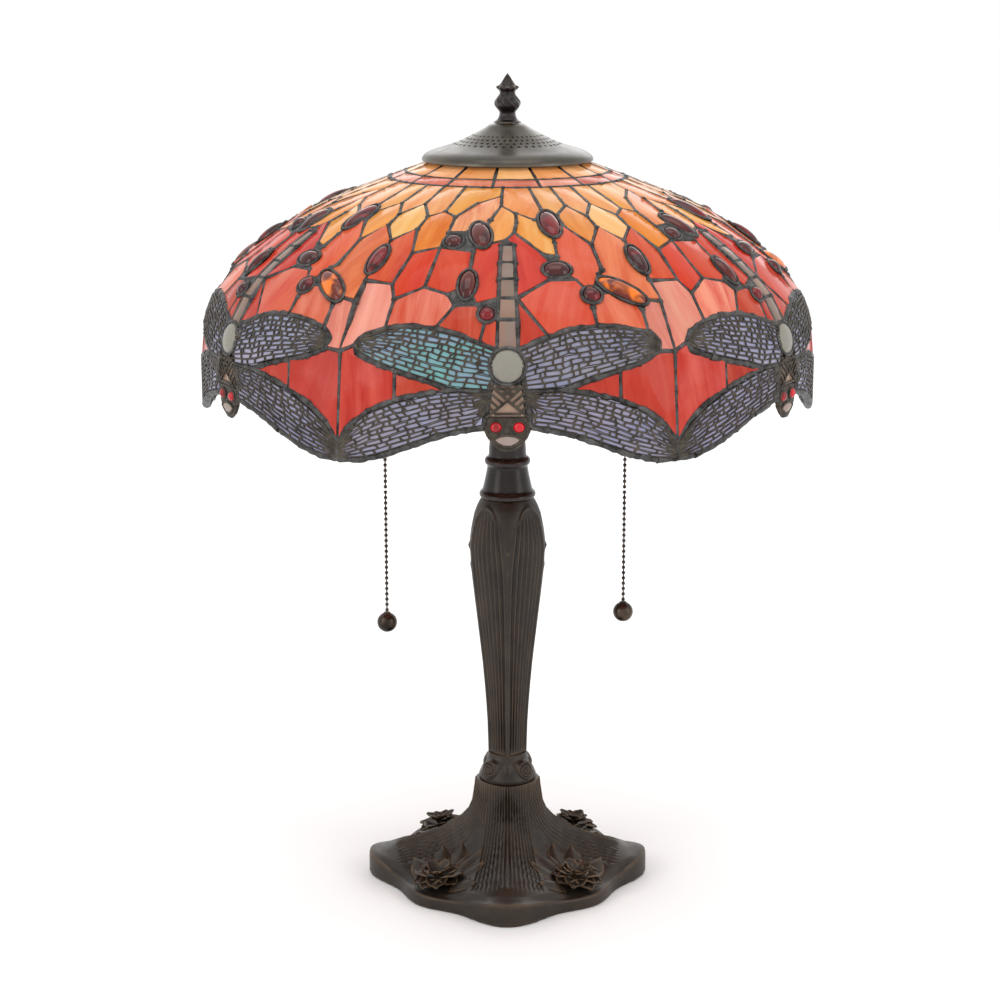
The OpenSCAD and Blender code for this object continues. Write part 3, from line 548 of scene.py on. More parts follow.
def cut_panes(name, cells, colours, gap=FOIL_GAP):
    points, faces, middles, normals = [], [], [], []
    for cell in cells:
        pts, middle, n = flat(cell)
        faces.append(range(len(points), len(points) + len(pts)))
        points += pts
        middles.append(middle)
        normals.append(n)
    piece = mesh_piece(name, points, faces)
    paint_faces(piece, colours)
    lay_grain(piece, middles, normals, [rng.uniform(-0.35, 0.35) for _ in cells])
    only(piece)
    bpy.ops.object.mode_set(mode="EDIT")
    bpy.ops.mesh.select_mode(type="FACE")
    bpy.ops.mesh.select_all(action="SELECT")
    bpy.ops.mesh.inset(thickness=gap, depth=0, use_individual=True)
    bpy.ops.mesh.select_all(action="INVERT")
    bpy.ops.mesh.delete(type="FACE")
    bpy.ops.object.mode_set(mode="OBJECT")
    modify(piece, "SOLIDIFY", thickness=PANE_THICK, offset=0)
    modify(piece, "BEVEL", width=0.0004, segments=2, limit_method="ANGLE")
    return smooth(piece)


def shade_of(rgb, spread=6):
    k = rng.uniform(-spread, spread)
    return linear(*[min(255, max(0, c + k + rng.uniform(-4, 4))) for c in rgb])


def colours_for(palette, cells, spread=6):
    """Two colours for every pane; the same pane in each sixth comes from the same sheet."""
    return [tuple(shade_of(c, spread) for c in palette[i % len(palette)])
            for i in range(len(cells))]


print("pane cutter ready")

# %% Warm panes
palettes = {
    "crown_glass": [((238, 170, 96), (252, 188, 124)), ((232, 150, 84), (244, 172, 106)),
                    ((230, 152, 100), (244, 176, 120)), ((228, 146, 76), (240, 166, 100))],
    "band_glass": [((206, 110, 84), (240, 146, 118)), ((212, 132, 106), (244, 160, 132)),
                   ((196, 92, 70), (232, 130, 104)), ((214, 116, 80), (240, 150, 118))],
    "amber_glass": [((232, 148, 86), (248, 184, 116)), ((232, 146, 62), (248, 182, 94)),
                    ((232, 132, 66), (250, 166, 104)), ((228, 140, 70), (246, 178, 110)),
                    ((230, 140, 84), (248, 184, 120))],
    "leaf_glass": [((234, 164, 78), (250, 196, 126)), ((226, 112, 26), (240, 146, 52)),
                   ((224, 104, 48), (250, 180, 128)), ((224, 124, 38), (246, 170, 90)),
                   ((232, 146, 52), (248, 184, 106)), ((224, 130, 48), (244, 162, 84))],
    "red_glass": [((208, 66, 30), (226, 98, 60)), ((212, 52, 24), (222, 76, 44)),
                  ((204, 56, 26), (222, 84, 54)), ((200, 48, 22), (222, 84, 58)),
                  ((194, 36, 18), (212, 62, 40)), ((216, 78, 38), (236, 116, 84)),
                  ((216, 104, 58), (240, 140, 94))],
    "rose_glass": [((230, 142, 118), (242, 166, 144)), ((220, 82, 58), (242, 150, 126)),
                   ((186, 52, 28), (206, 88, 64)), ((184, 50, 28), (204, 76, 54)),
                   ((208, 62, 42), (226, 104, 78)), ((186, 56, 36), (208, 78, 58)),
                   ((210, 84, 50), (232, 126, 96)), ((214, 118, 100), (242, 156, 136))],
    "vee_glass": [((196, 50, 38), (212, 78, 64)), ((182, 46, 32), (200, 78, 58)),
                  ((182, 44, 32), (200, 66, 50)), ((188, 48, 34), (206, 72, 56))]}
rows = [("crown_glass", crown_cells(0), "crown_panes", "amber_glass"),
        ("band_glass", crown_cells(1), "band_panes", "rose_glass"),
        ("amber_glass", six_times(amber_cells), "amber_panes", "amber_glass"),
        ("leaf_glass", six_times(leaf_cells), "leaf_panes", "amber_glass"),
        ("red_glass", six_times(red_cells), "red_panes", "red_glass"),
        ("rose_glass", six_times(rose_cells), "rose_panes", "rose_glass"),
        ("vee_glass", six_times(vee_cells), "vee_panes", "red_glass")]
for name, cells, node, slot in rows:
    panes = cut_panes(name, cells, colours_for(palettes[name], cells))
    dress(panes, warm_glass, "shade", slot, node)

# %% [markdown]
# The dragonfly's tail and belly are milky opal, pinkish where the light comes through. They
# are cut in the same way from another sheet.

# %% Tail and belly
MILK, BLUSH, GREY = (176, 156, 144), (160, 124, 110), (146, 132, 120)
FLESH, LIP = (196, 160, 142), (178, 160, 150)
tails = six_times(tail_cells)
tail_piece = cut_panes("tail_glass", tails, colours_for([(BLUSH, GREY)], tails, 8))
dress(tail_piece, opal_glass, "shade", "opal_glass", "tail_segments")
bellies = six_times([VENTER])
belly_piece = cut_panes("belly_opal", bellies, colours_for([(FLESH, MILK)], bellies))
dress(belly_piece, opal_glass, "shade", "opal_glass", "belly_glass")

# %% [markdown]
# Solder is run along every seam, inside and out. The seams are drawn as one wire mesh, each
# edge once. Turned into a curve with a round bevel, the wires become beads, and giving every
# curve point its own radius makes them lumpy, as hand-run solder is. A blob of solder sits
# on each crossing, heavier rims run round the wings, and small corners beside the jewels
# are filled with solder.

# %% Seam wires
def key(p):
    return (round(p[0] % 360, 2), round(p[1], 2))


leaded_cells = six_times(all_cells + tail_cells) + crown_cells(0) + crown_cells(1)
edges = [sorted((key(a), key(b))) for cell in leaded_cells for a, b in round_pairs(cell)]
seams = list(dict.fromkeys((a, b) for a, b in edges if a != b))
seam_length = sum((on_shade(a) - on_shade(b)).length for a, b in seams)
print(len(seams), "seams,", round(seam_length, 1), "m of solder")

# %% Solder beads
def cast_plate(name, cells):
    points, faces = [], []
    for cell in cells:
        pts, _, _ = flat(cell)
        faces.append(range(len(points), len(points) + len(pts)))
        points += pts
    piece = mesh_piece(name, points, faces)
    modify(piece, "SOLIDIFY", thickness=PANE_THICK, offset=0)
    modify(piece, "BEVEL", width=0.0006, segments=2, limit_method="ANGLE")
    return piece


def bead_run(name, wires, radius, closed=False, wobble=0.14, sides=2):
    """Round beads along point lists."""
    curve = bpy.data.curves.new(name, "CURVE")
    curve.dimensions, curve.bevel_depth, curve.bevel_resolution = "3D", 1.0, sides
    curve.use_fill_caps = True
    for wire in wires:
        spline = curve.splines.new("POLY")
        spline.points.add(len(wire) - 1)
        spline.use_cyclic_u = closed
        for point, co in zip(spline.points, wire):
            point.co = (*co, 1)
            point.radius = radius * (1 + rng.uniform(-wobble, wobble))
    piece = bpy.data.objects.new(name, curve)
    bpy.context.scene.collection.objects.link(piece)
    only(piece)
    bpy.ops.object.convert(target="MESH")
    return smooth(bpy.context.object, 50)


def along(a, b, step=0.0042):
    p, q = on_shade(a), on_shade(b)
    n = max(2, int((q - p).length / step) + 1)
    return [p.lerp(q, i / (n - 1)) for i in range(n)]


SEAM_R, BLOB_R, WING_RIM_R, FINE_STEP = 0.00185, 0.0023, 0.00245, 0.003
beads = bead_run("seam_beads", [along(a, b) for a, b in seams], SEAM_R, sides=1)
wing_edges = [along(a, b, FINE_STEP) for outline in six_times([UR, UL, LR, LL])
              for a, b in round_pairs(outline)]
wing_rims = bead_run("wing_rims", wing_edges, WING_RIM_R, wobble=0.2)
bpy.ops.mesh.primitive_ico_sphere_add(subdivisions=2, radius=BLOB_R)
blob = bpy.context.object
blobs = []
for corner in sorted({p for pair in seams for p in pair}):
    size = rng.uniform(0.9, 1.12)
    blobs.append(copy_of(blob, seat(corner) @ Matrix.Diagonal((size, size, size * 0.95, 1))))
drop(blob)
pockets = cast_plate("solder_pockets", six_times(POCKETS))
solder_run = join([beads, wing_rims, pockets] + blobs, "solder_seams")
print("solder has", triangles(solder_run), "triangles and", len(blobs), "blobs")

# %% [markdown]
# ### Jewels
# Cabochons are moulded with a flat back and a domed face. One dome is modelled from a ball
# whose back half is pressed nearly flat, then copied to every seat, stretched to each
# jewel's width and length. A bead of solder holds each one.

# %% Cabochon glass
def gem_finish():
    # The faint emission in the gem's own colours is a painted glow.
    f = Finish("deep cabochon glass", Roughness=0.05, Coat_Weight=0.2, Coat_Roughness=0.02,
               Emission_Strength=0.02, Specular_IOR_Level=0.34)
    first, second = f.sheet_colours()
    swirl = f.grain(f.place(), 75, 2, 0.4, 0.8)
    color = f.mix(f.ramp(swirl, (0.4, 0.0), (0.58, 1.0)), first, second)
    flow = f.bump(f.grain(f.place(), 70, 1), 0.12, 0.0005)
    return f.wire(Base_Color=color, Emission_Color=color, Normal=flow)


gem_glass = gem_finish()
bpy.ops.mesh.primitive_uv_sphere_add(segments=28, ring_count=16, radius=1)
dome = bpy.context.object
for v in dome.data.vertices:
    v.co.z = v.co.z if v.co.z > 0 else v.co.z * 0.5
RUBY, GARNET, BROWN, HONEY = (112, 0, 8), (52, 0, 4), (82, 16, 4), (224, 110, 6)
GEM_COLOURS = [(RUBY, GARNET), (GARNET, BROWN), (BROWN, GARNET), (RUBY, GARNET), (GARNET, BROWN),
               (BROWN, GARNET), (RUBY, GARNET), (RUBY, GARNET), (HONEY, (96, 26, 4))]


GEM_RISE, EYE_RISE = 4.4, 3.0


def set_gem(jewel, turn, height, colours, lift=0.2):
    (a, s), half_w, half_l, tilt = jewel
    size = Matrix.Diagonal((half_w * MM, half_l * MM, height * MM, 1))
    gem = copy_of(dome, seat((a + turn, s), lift, tilt) @ size)
    paint_faces(gem, [tuple(linear(*c) for c in colours)] * len(gem.data.polygons))
    return gem


round_gems, long_gems = [], []
for turn in SIXTHS:
    for jewel, colours in zip(JEWELS, GEM_COLOURS):
        target = round_gems if jewel[1] == jewel[2] else long_gems
        target.append(set_gem(jewel, turn, GEM_RISE, colours))
round_piece = smooth(join(round_gems, "round_cabochons"), 60)
long_piece = smooth(join(long_gems, "long_cabochons"), 60)
dress(round_piece, gem_glass, "shade", "jewel_glass", "round_jewels")
dress(long_piece, gem_glass, "shade", "jewel_glass", "oval_jewels")

# %% Jewel settings
def ring_round(jewel, turn, grow, lift, n=26):
    (a, s), half_w, half_l, tilt = jewel
    f = seat((a + turn, s), lift, tilt)
    return [f @ Vector(((half_w + grow) * MM * math.cos(t * TURN / n),
                        (half_l + grow) * MM * math.sin(t * TURN / n), 0)) for t in range(n)]


BEZEL_R, BEZEL_LIFT = 0.0012, 1.2
settings = [ring_round(jewel, turn, 0.7, lift) for turn in SIXTHS
            for jewel in JEWELS + [THORAX] for lift in (BEZEL_LIFT, -BEZEL_LIFT)]
bezels = bead_run("bezel_beads", settings, BEZEL_R, closed=True, wobble=0.12, sides=1)
solder_run = join([solder_run, bezels], "solder_seams")
dress(solder_run, solder, "shade", "solder", "leaf_seams", "red_seams", "crown_seams")

# %% [markdown]
# ### Dragonfly bodies
# The thorax is the largest round cabochon, a milky greyish white. Below it a lattice of
# dark lines crosses the blushing belly glass, and a cast head with two red eyes and an opal
# mouth closes the body at the shade's edge.

# %% Thorax, eyes and mouth
THORAX_COLOURS, EYE_COLOURS = ((170, 164, 152), (150, 148, 138)), ((190, 6, 26), (120, 2, 12))
thoraxes = [set_gem(THORAX, turn, GEM_RISE, THORAX_COLOURS) for turn in SIXTHS]
thorax_piece = smooth(join(thoraxes, "thorax_opals"), 60)
milk_gem = streaky_glass("polished opal", 0.12, 20.0, (0.05, 0.1))
dress(thorax_piece, milk_gem, "shade", "opal_glass", "thorax_glass")
eye_seats = [((side * 1.9, 226.6), 3.5, 3.2, 0) for side in (-1, 1)]
eye_gems = [set_gem(eye, turn, EYE_RISE, EYE_COLOURS, 1.0)
            for turn in SIXTHS for eye in eye_seats]
eye_piece = smooth(join(eye_gems, "eye_gems"), 60)
drop(dome)
dress(eye_piece, gem_glass, "shade", "jewel_glass", "eyes")


MOUTH_PROUD = 0.0006
mouths = six_times([MOUTH])
mouth_piece = cut_panes("mouth_opals", mouths, colours_for([(LIP, MILK)], mouths), 0.0003)
for v in mouth_piece.data.vertices:
    v.co += Vector((v.co.x, v.co.y, 0)).normalized() * MOUTH_PROUD
dress(mouth_piece, milk_gem, "shade", "opal_glass", "mouth_glass")

# %% Cast heads and body lattices
def stretch(points, about, share):
    return [(about[0] + (a - about[0]) * share, about[1] + (s - about[1]) * share)
            for a, s in points]


head_plates = cast_plate("head_plates", six_times([HEAD]))
lines, rims, eye_rings, mouth_rings = [], [], [], []
LATTICE = [[(-2.9, 201.2), (-1.6, 205.4), (0, 210.4), (1.8, 215.8), (3.5, 220.6)],
           [(-3.0, 205.6), (-1.9, 208.8), (-0.8, 212.2)],
           [(-3.1, 209.8), (-2.3, 212.2), (-1.5, 214.8)],
           [(-3.2, 213.8), (-2.6, 216.0), (-2.1, 217.4)],
           [(-1.8, 201.4), (-0.5, 204.4), (0.7, 207.8)],
           [(-3.0, 203.4), (-2.0, 203.2), (-1.0, 203.8), (0, 203.2)],
           [(-1.2, 206.6), (0, 206.0)], [(-2.2, 218.6), (0, 218.4)]]
HEAD_RIM_R, FINE_R = 0.0016, 0.0008
for turn in SIXTHS:
    lines += [[on_shade((side * a + turn, s), 2.2) for a, s in line]
              for side in (-1, 1) for line in LATTICE]
    rims += [along(a, b, FINE_STEP) for a, b in round_pairs([(a + turn, s) for a, s in HEAD])]
    flanks = [(a + turn, s) for a, s in VENTER]
    rims += [along(flanks[i], flanks[j], FINE_STEP) for i, j in ((1, 2), (2, 3), (4, 5), (5, 0))]
    eye_rings += [ring_round(eye, turn, 0.3, 1.4, 18) for eye in eye_seats]
    mouth_rings.append([on_shade((a + turn, s), 1.6) for a, s in stretch(MOUTH, (0, 235), 1.12)])
head_rims = bead_run("head_rims", rims, HEAD_RIM_R, sides=1)
head_rings = bead_run("head_rings", eye_rings + mouth_rings, FINE_R, closed=True, sides=1)
heads = join([head_plates, head_rims, head_rings], "cast_heads")
dress(heads, lace_metal, "shade", "solder", "dragonfly_heads")
lattice = bead_run("belly_lattices", lines, FINE_R, wobble=0.1, sides=1)
dress(lattice, lace_metal, "shade", "filigree_brass", "body_lattices")

# %% [markdown]
# ### Wings
# Each wing is a sheet of periwinkle opal bent to the dome, and over it lies a thin brass
# plate etched through in rows of little windows, like the cells of a real wing. The plate is
# drawn as rows of bricks between the wing's two edges. Insetting every brick and deleting
# its middle leaves the bars, and Solidify gives the plate its thickness.

# %% Wing outlines as rows
def by_length(points, gap):
    """The point at a share of a line's length, as a function; gap measures each part."""
    steps = [0.0]
    for a, b in zip(points, points[1:]):
        steps.append(steps[-1] + gap(a, b))

    def at(u):
        d = min(max(u, 0), 1) * steps[-1]
        for i in range(len(points) - 1):
            if d <= steps[i + 1] or i == len(points) - 2:
                t = (d - steps[i]) / (steps[i + 1] - steps[i])
                return tuple(points[i][k] + (points[i + 1][k] - points[i][k]) * t for k in (0, 1))
    return at


def glass_gap(a, b):
    return (on_shade(a) - on_shade(b)).length


def wing(upper, lower):
    """A wing as a sheet: u runs from root to tip, v from the lower edge to the upper."""
    top, low = by_length(upper, glass_gap), by_length(lower, glass_gap)

    def at(u, v):
        p, q = low(u), top(u)
        return (p[0] + (q[0] - p[0]) * v, p[1] + (q[1] - p[1]) * v)
    return at


WINGS = {"upper_right": wing(UR[:7], UR[12:6:-1]), "upper_left": wing(UL[:7], UL[13:6:-1]),
         "lower_right": wing(LR[:7], LR[15:6:-1]), "lower_left": wing(LL[:7], LL[15:6:-1])}


LACE_ROWS, LACE_LIFT = 9, 2.15
BAR, ROUNDING, LEAST_WINDOW = 0.00056, 0.00045, 1.3e-6  # two widths and an area, in metres


def etched_plate(name, sheet, seed):
    """One brass wing: bricks in rows, longer towards the lower edge, each with a window."""
    r = random.Random(seed)
    points, faces = [], []

    def corner(u, v):
        sway = (0.03 * math.sin(8 * u + seed) + 0.016 * math.sin(27 * u + 11 * v + 2 * seed)
                + 0.009 * math.sin(61 * u + 5 * seed)) * math.sin(math.pi * v)
        return on_shade(sheet(u, min(max(v + sway, 0), 1)), LACE_LIFT)

    for row in range(LACE_ROWS):
        v0, v1 = (0.05 + 0.9 * edge / LACE_ROWS for edge in (row, row + 1))
        joints = [(0.0, 0.0)]
        while joints[-1][0] < 1:
            u = joints[-1][0] + (0.042 + 0.05 * (1 - v0)) * r.uniform(0.45, 1.6)
            joints.append((1.0, 1.0) if u > 0.96 else (u, u + r.uniform(-0.02, 0.02)))
        for (a0, a1), (b0, b1) in zip(joints, joints[1:]):
            faces.append(range(len(points), len(points) + 4))
            points += [corner(a0, v0), corner(b0, v0), corner(b1, v1), corner(a1, v1)]
    piece = mesh_piece(name, points, faces)
    merge_doubles(piece)
    bpy.ops.object.mode_set(mode="EDIT")
    bpy.ops.mesh.select_mode(type="FACE")
    bpy.ops.mesh.select_all(action="SELECT")
    bpy.ops.mesh.inset(thickness=BAR, depth=0, use_individual=True)
    bpy.ops.object.mode_set(mode="OBJECT")
    for face in piece.data.polygons:
        face.material_index = int(face.select)
    bpy.ops.object.mode_set(mode="EDIT")
    bpy.ops.mesh.bevel(offset=ROUNDING, segments=1, affect="VERTICES")
    bpy.ops.mesh.select_all(action="DESELECT")
    bpy.ops.object.mode_set(mode="OBJECT")
    for face in piece.data.polygons:
        face.select = face.material_index == 1 and face.area > LEAST_WINDOW
    bpy.ops.object.mode_set(mode="EDIT")
    bpy.ops.mesh.delete(type="FACE")
    bpy.ops.object.mode_set(mode="OBJECT")
    for face in piece.data.polygons:
        face.material_index = 0
    return piece


print("wing sheets ready:", ", ".join(WINGS))

# %% Etched brass wings
for level in ("upper", "lower"):
    plates = [etched_plate(f"{level}_{side}", WINGS[f"{level}_{side}"], seed)
              for seed, side in enumerate(("right", "left"))]
    pair = join(plates, f"{level}_pair")
    print(level, "wings:", triangles(pair), "triangles while flat")
    lace = join([copy_of(pair, Matrix.Rotation(math.radians(turn), 4, "Z"))
                 for turn in SIXTHS], f"{level}_wing_lace")
    drop(pair)
    modify(face_outwards(lace), "SOLIDIFY", thickness=0.0007, offset=0)
    dress(lace, lace_metal, "shade", "filigree_brass", f"{level}_wing_filigree")

# %% [markdown]
# The glass under each plate is a grid laid over the same sheet, with green lights in some
# wings, then thickened. The heavy rims made with the seams already run round it.

# %% Wing glass
PERI, LILAC, SKY, GREEN = (158, 160, 192), (178, 172, 190), (160, 172, 200), (112, 196, 182)


def wing_sheet(sheet, turn, colours, nu=14, nv=6):
    spots = [sheet(i / nu, k / nv) for i in range(nu + 1) for k in range(nv + 1)]
    points = [on_shade((a + turn, s)) for a, s in spots]
    corners = [i * (nv + 1) + k for i in range(nu) for k in range(nv)]
    faces = [(b, b + nv + 1, b + nv + 2, b + 1) for b in corners]
    piece = mesh_piece("wing", points, faces)
    paint_faces(piece, [colours] * len(faces))
    middle = sum(points, Vector()) / len(points)
    n = Vector((middle.x, middle.y, 0)).normalized()
    lay_grain_whole(piece, middle, n)
    return piece


def lay_grain_whole(piece, middle, n):
    x = Vector((0, 0, 1)).cross(n).normalized()
    layer = piece.data.uv_layers.new(name="grain")
    shift = (rng.uniform(0, 9), rng.uniform(0, 9))
    for loop in piece.data.loops:
        d = piece.data.vertices[loop.vertex_index].co - middle
        layer.data[loop.index].uv = (d.dot(x) + shift[0], d.z * 0.5 + shift[1])


for level in ("upper", "lower"):
    sheets = []
    for k, turn in enumerate(SIXTHS):
        for side in ("right", "left"):
            green = (level == "upper" and side == "left" and k % 2 == 0)
            pair = tuple(shade_of(c) for c in ((SKY, GREEN) if green else (PERI, LILAC)))
            sheets.append(wing_sheet(WINGS[f"{level}_{side}"], turn, pair))
    glass = face_outwards(join(sheets, f"{level}_wing_sheets"))
    smooth(modify(glass, "SOLIDIFY", thickness=PANE_THICK, offset=0))
    dress(glass, wing_glass_finish, "shade", "wing_glass", f"{level}_wing_glass")

# %% [markdown]
# ## Cast metal
# The stand is cast in a soft alloy and finished as dark bronze: nearly black brown, satin,
# with the high edges rubbed back to a warmer brown. The finish finds those edges itself, from
# how sharply the surface turns at each point, and noise breaks the rubbing up.

# %% Dark bronze
def bronze_finish(name, dark, warm, rubbed, roughness=(0.36, 0.54), wear=(0.515, 0.58)):
    f = Finish(name, Metallic=0.55, Coat_Weight=0.12, Coat_Roughness=0.3)
    where = f.place()
    edge = f.ramp(f.node("NewGeometry").outputs["Pointiness"], (wear[0], 0.0), (wear[1], 1.0))
    patch = f.ramp(f.grain(where, 26, 4, 0.6), (0.35, 0.25), (0.7, 1.0))
    base = f.mix(f.ramp(f.grain(where, 38, 5, 0.65), (0.35, 0.0), (0.7, 1.0)), dark, warm)
    rub = f.node("Math", {0: edge, 1: patch}, operation="MULTIPLY").outputs[0]
    color = f.mix(rub, base, rubbed)
    gloss = f.ramp(f.grain(where, 70, 4), (0.3, roughness[0]), (0.7, roughness[1]))
    cast = f.bump(f.grain(where, 900, 3, 0.6), 0.18, 0.0002)
    return f.wire(Base_Color=color, Roughness=gloss, Normal=cast)


bronze = bronze_finish("dark rubbed bronze", linear(34, 29, 25), linear(56, 46, 36),
                       linear(96, 73, 50))
black_bronze = bronze_finish("gloss black bronze", linear(26, 20, 20), linear(42, 34, 33),
                             linear(112, 94, 76), (0.2, 0.36), (0.51, 0.58))
cap_bronze = bronze_finish("satin grey bronze", linear(56, 51, 44), linear(82, 75, 65),
                           linear(120, 110, 96), (0.24, 0.38), (0.53, 0.62))
print("bronze finishes made")

# %% [markdown]
# Most castings are round or nearly so. One grid is rolled into a skin: u runs round it and v
# runs along it, and a function says how far out and how high each point lies. The seam is
# merged, the ends are filled, and the relief is in the mesh itself.

# %% Rolled skins
def rolled(name, around, steps, place, ends=True):
    bpy.ops.object.select_all(action="DESELECT")
    bpy.ops.mesh.primitive_grid_add(x_subdivisions=around, y_subdivisions=steps, size=1)
    piece = bpy.context.object
    piece.name = piece.data.name = name
    for v in piece.data.vertices:
        u, t = v.co.x + 0.5, v.co.y + 0.5
        r, z = place(u * TURN, t)
        v.co = (r * math.cos(u * TURN) * MM, r * math.sin(u * TURN) * MM, z * MM)
    merge_doubles(piece)
    if ends:
        bpy.ops.object.mode_set(mode="EDIT")
        bpy.ops.mesh.select_all(action="SELECT")
        bpy.ops.mesh.fill_holes(sides=0)
        bpy.ops.object.mode_set(mode="OBJECT")
    return face_outwards(piece)


def table(points, x):
    """Straight lines between (x, y) points, level beyond both ends."""
    if x <= points[0][0]:
        return points[0][1]
    for (x0, y0), (x1, y1) in zip(points, points[1:]):
        if x <= x1:
            return y0 + (y1 - y0) * (x - x0) / (x1 - x0)
    return points[-1][1]


def step(x, a, b):
    t = min(max((x - a) / (b - a), 0), 1)
    return t * t * (3 - 2 * t)


def hump(x, middle, half):
    return math.exp(-((x - middle) / half) ** 2)


def profile_gap(a, b):
    return math.hypot(b[0] - a[0], b[1] - a[1])


def softened(points, times=2):
    """Corners of a profile cut back, as a casting's are."""
    for _ in range(times):
        out = [points[0]]
        for a, b in zip(points, points[1:]):
            out += [(a[0] * 0.75 + b[0] * 0.25, a[1] * 0.75 + b[1] * 0.25),
                    (a[0] * 0.25 + b[0] * 0.75, a[1] * 0.25 + b[1] * 0.75)]
        points = out + [points[-1]]
    return points


print("rolling ready")

# %% [markdown]
# ### Heat cap and finial
# The cap is spun from sheet and pierced with four rows of diamond vents that let the bulbs'
# heat out. Its section is rolled round as a closed skin, and a ring of four-sided cutters
# goes through it with a Boolean.

# %% Heat cap
CAP = [(3.5, 533), (11, 533), (17, 529), (25, 525), (33, 521), (44, 517.4), (50, 515.8),
       (54.6, 513.8), (57.2, 511.2), (57.4, 508.9), (56.6, 508.3), (55.6, 508.6),
       (55.3, 510.4), (53.8, 512.2), (50, 513.8), (43.4, 515.8), (32.4, 519.4),
       (24.2, 523.4), (16.2, 527.4), (10.4, 531.4), (3.5, 531.4)]
cap_at = by_length([CAP[0]] + softened(CAP[1:-1]) + [CAP[-1]], profile_gap)
cap = rolled("vented_heat_cap", 144, 70, lambda a, t: cap_at(t), ends=False)
only(cap)
bpy.ops.object.mode_set(mode="EDIT")
bpy.ops.mesh.select_all(action="DESELECT")
bpy.ops.mesh.select_mode(type="EDGE")
bpy.ops.mesh.select_non_manifold()
bpy.ops.mesh.bridge_edge_loops()
bpy.ops.object.mode_set(mode="OBJECT")
face_outwards(cap)

# %% Vents
VENT_ROWS, VENT_COUNT = ((23.5, 525.8), (27.4, 523.8), (31.3, 521.8), (35.4, 520.2)), 44
bpy.ops.mesh.primitive_cylinder_add(vertices=4, radius=0.00125, depth=0.014)
diamond = bpy.context.object
cutters = []
for row, (r, z) in enumerate(VENT_ROWS):
    grow = 0.84 + 0.12 * row
    for i in range(VENT_COUNT):
        spin = Matrix.Rotation((i + 0.5 * (row % 2)) * TURN / VENT_COUNT, 4, "Z")
        cutters.append(copy_of(diamond, spin @ Matrix.Translation((r * MM, 0, z * MM))
                               @ Matrix.Diagonal((grow, grow, 1, 1))))
drop(diamond)
vents = join(cutters, "vent_cutters")
modify(cap, "BOOLEAN", operation="DIFFERENCE", object=vents, solver="EXACT")
drop(vents)
smooth(cap, 35)
dress(cap, cap_bronze, "shade", "cap_metal", "heat_cap")

# %% [markdown]
# The finial is a small casting turned down onto the cap: a pointed bud with ribs, a ring of
# leaves, a fluted bulb and a waisted foot. The profile is rolled, and each part of its
# height is rippled round by its own number of ribs.

# %% Finial
FINIAL = [(0, 566), (1.2, 564.6), (2.8, 562), (4.5, 559.4), (5.4, 557.9), (6.9, 557.2),
          (6.9, 556.0), (5.5, 554.8), (5.0, 553.2), (5.6, 552), (7.6, 549.9), (9.1, 547.2),
          (8.6, 544.4), (6.5, 542.2), (5.3, 540.6), (5.4, 538.6), (6.5, 536.2), (8.2, 534.9),
          (9.1, 534.4), (9.2, 533.5), (4.4, 533.4)]
finial_at = by_length([FINIAL[0]] + softened(FINIAL[1:], 1), profile_gap)


def finial_place(a, t):
    r, z = finial_at(t)
    bud = step(z, 557.4, 559) * (1 - step(z, 563.5, 565.8))
    leaves = hump(z, 556.4, 1.5)
    bulb = hump(z, 547.4, 3.6)
    r += -0.5 * bud * abs(math.sin(5 * a)) + 0.7 * leaves * math.cos(8 * a)
    r += -0.75 * bulb * abs(math.sin(5 * a + 0.5 * (z - 547))) ** 0.6
    r -= 0.3 * hump(z, 539, 2) * abs(math.sin(4 * a))
    return max(r, 0.02), z + 0.5 * leaves * math.cos(8 * a)


finial = smooth(rolled("cast_finial", 80, 110, finial_place), 45)
dress(finial, black_bronze, "finial_knob", "bronze", "finial")

# %% [markdown]
# ### Column
# The column is a square bud, narrow below and swelling to a shoulder. Its corners face
# front, back and to the sides. Each face holds a sunk panel of reeds under a round arch,
# smooth strips with a thin raised line run down the corners, and a boss sits where a strip
# narrows.

# %% Column
COLUMN_FOOT, COLUMN_TALL, REEDS = 92, 185.5, 7
COLUMN = [(92, 13.55), (102, 13.8), (113.8, 14.2), (128, 15.1), (143.2, 16.3), (158, 17.7),
          (172.7, 19.4), (187, 21.1), (202.2, 22.9), (216, 24.5), (231, 26.1), (240, 26.95),
          (243.4, 27.1), (249, 26.75), (255, 26.0), (261, 24.9), (266.3, 23.8), (272, 21.7),
          (275.2, 20.0), (277.5, 18.6)]
SQUARE = [(92, 1.45), (113.8, 1.42), (143.2, 1.4), (172.7, 1.4), (202.2, 1.42), (225, 1.45),
          (243.4, 1.5), (255, 1.55), (262, 1.6), (268, 1.7), (273, 1.8), (277.5, 2)]
STRIP = [(92, 1.1), (150, 1.4), (190, 1.9), (215, 2.5), (232, 3.4), (243, 4.6), (252, 5.6),
         (262, 6.8), (278, 8.4)]


def squared(a, corner, p):
    return corner / (abs(math.cos(a)) ** p + abs(math.sin(a)) ** p) ** (1 / p)


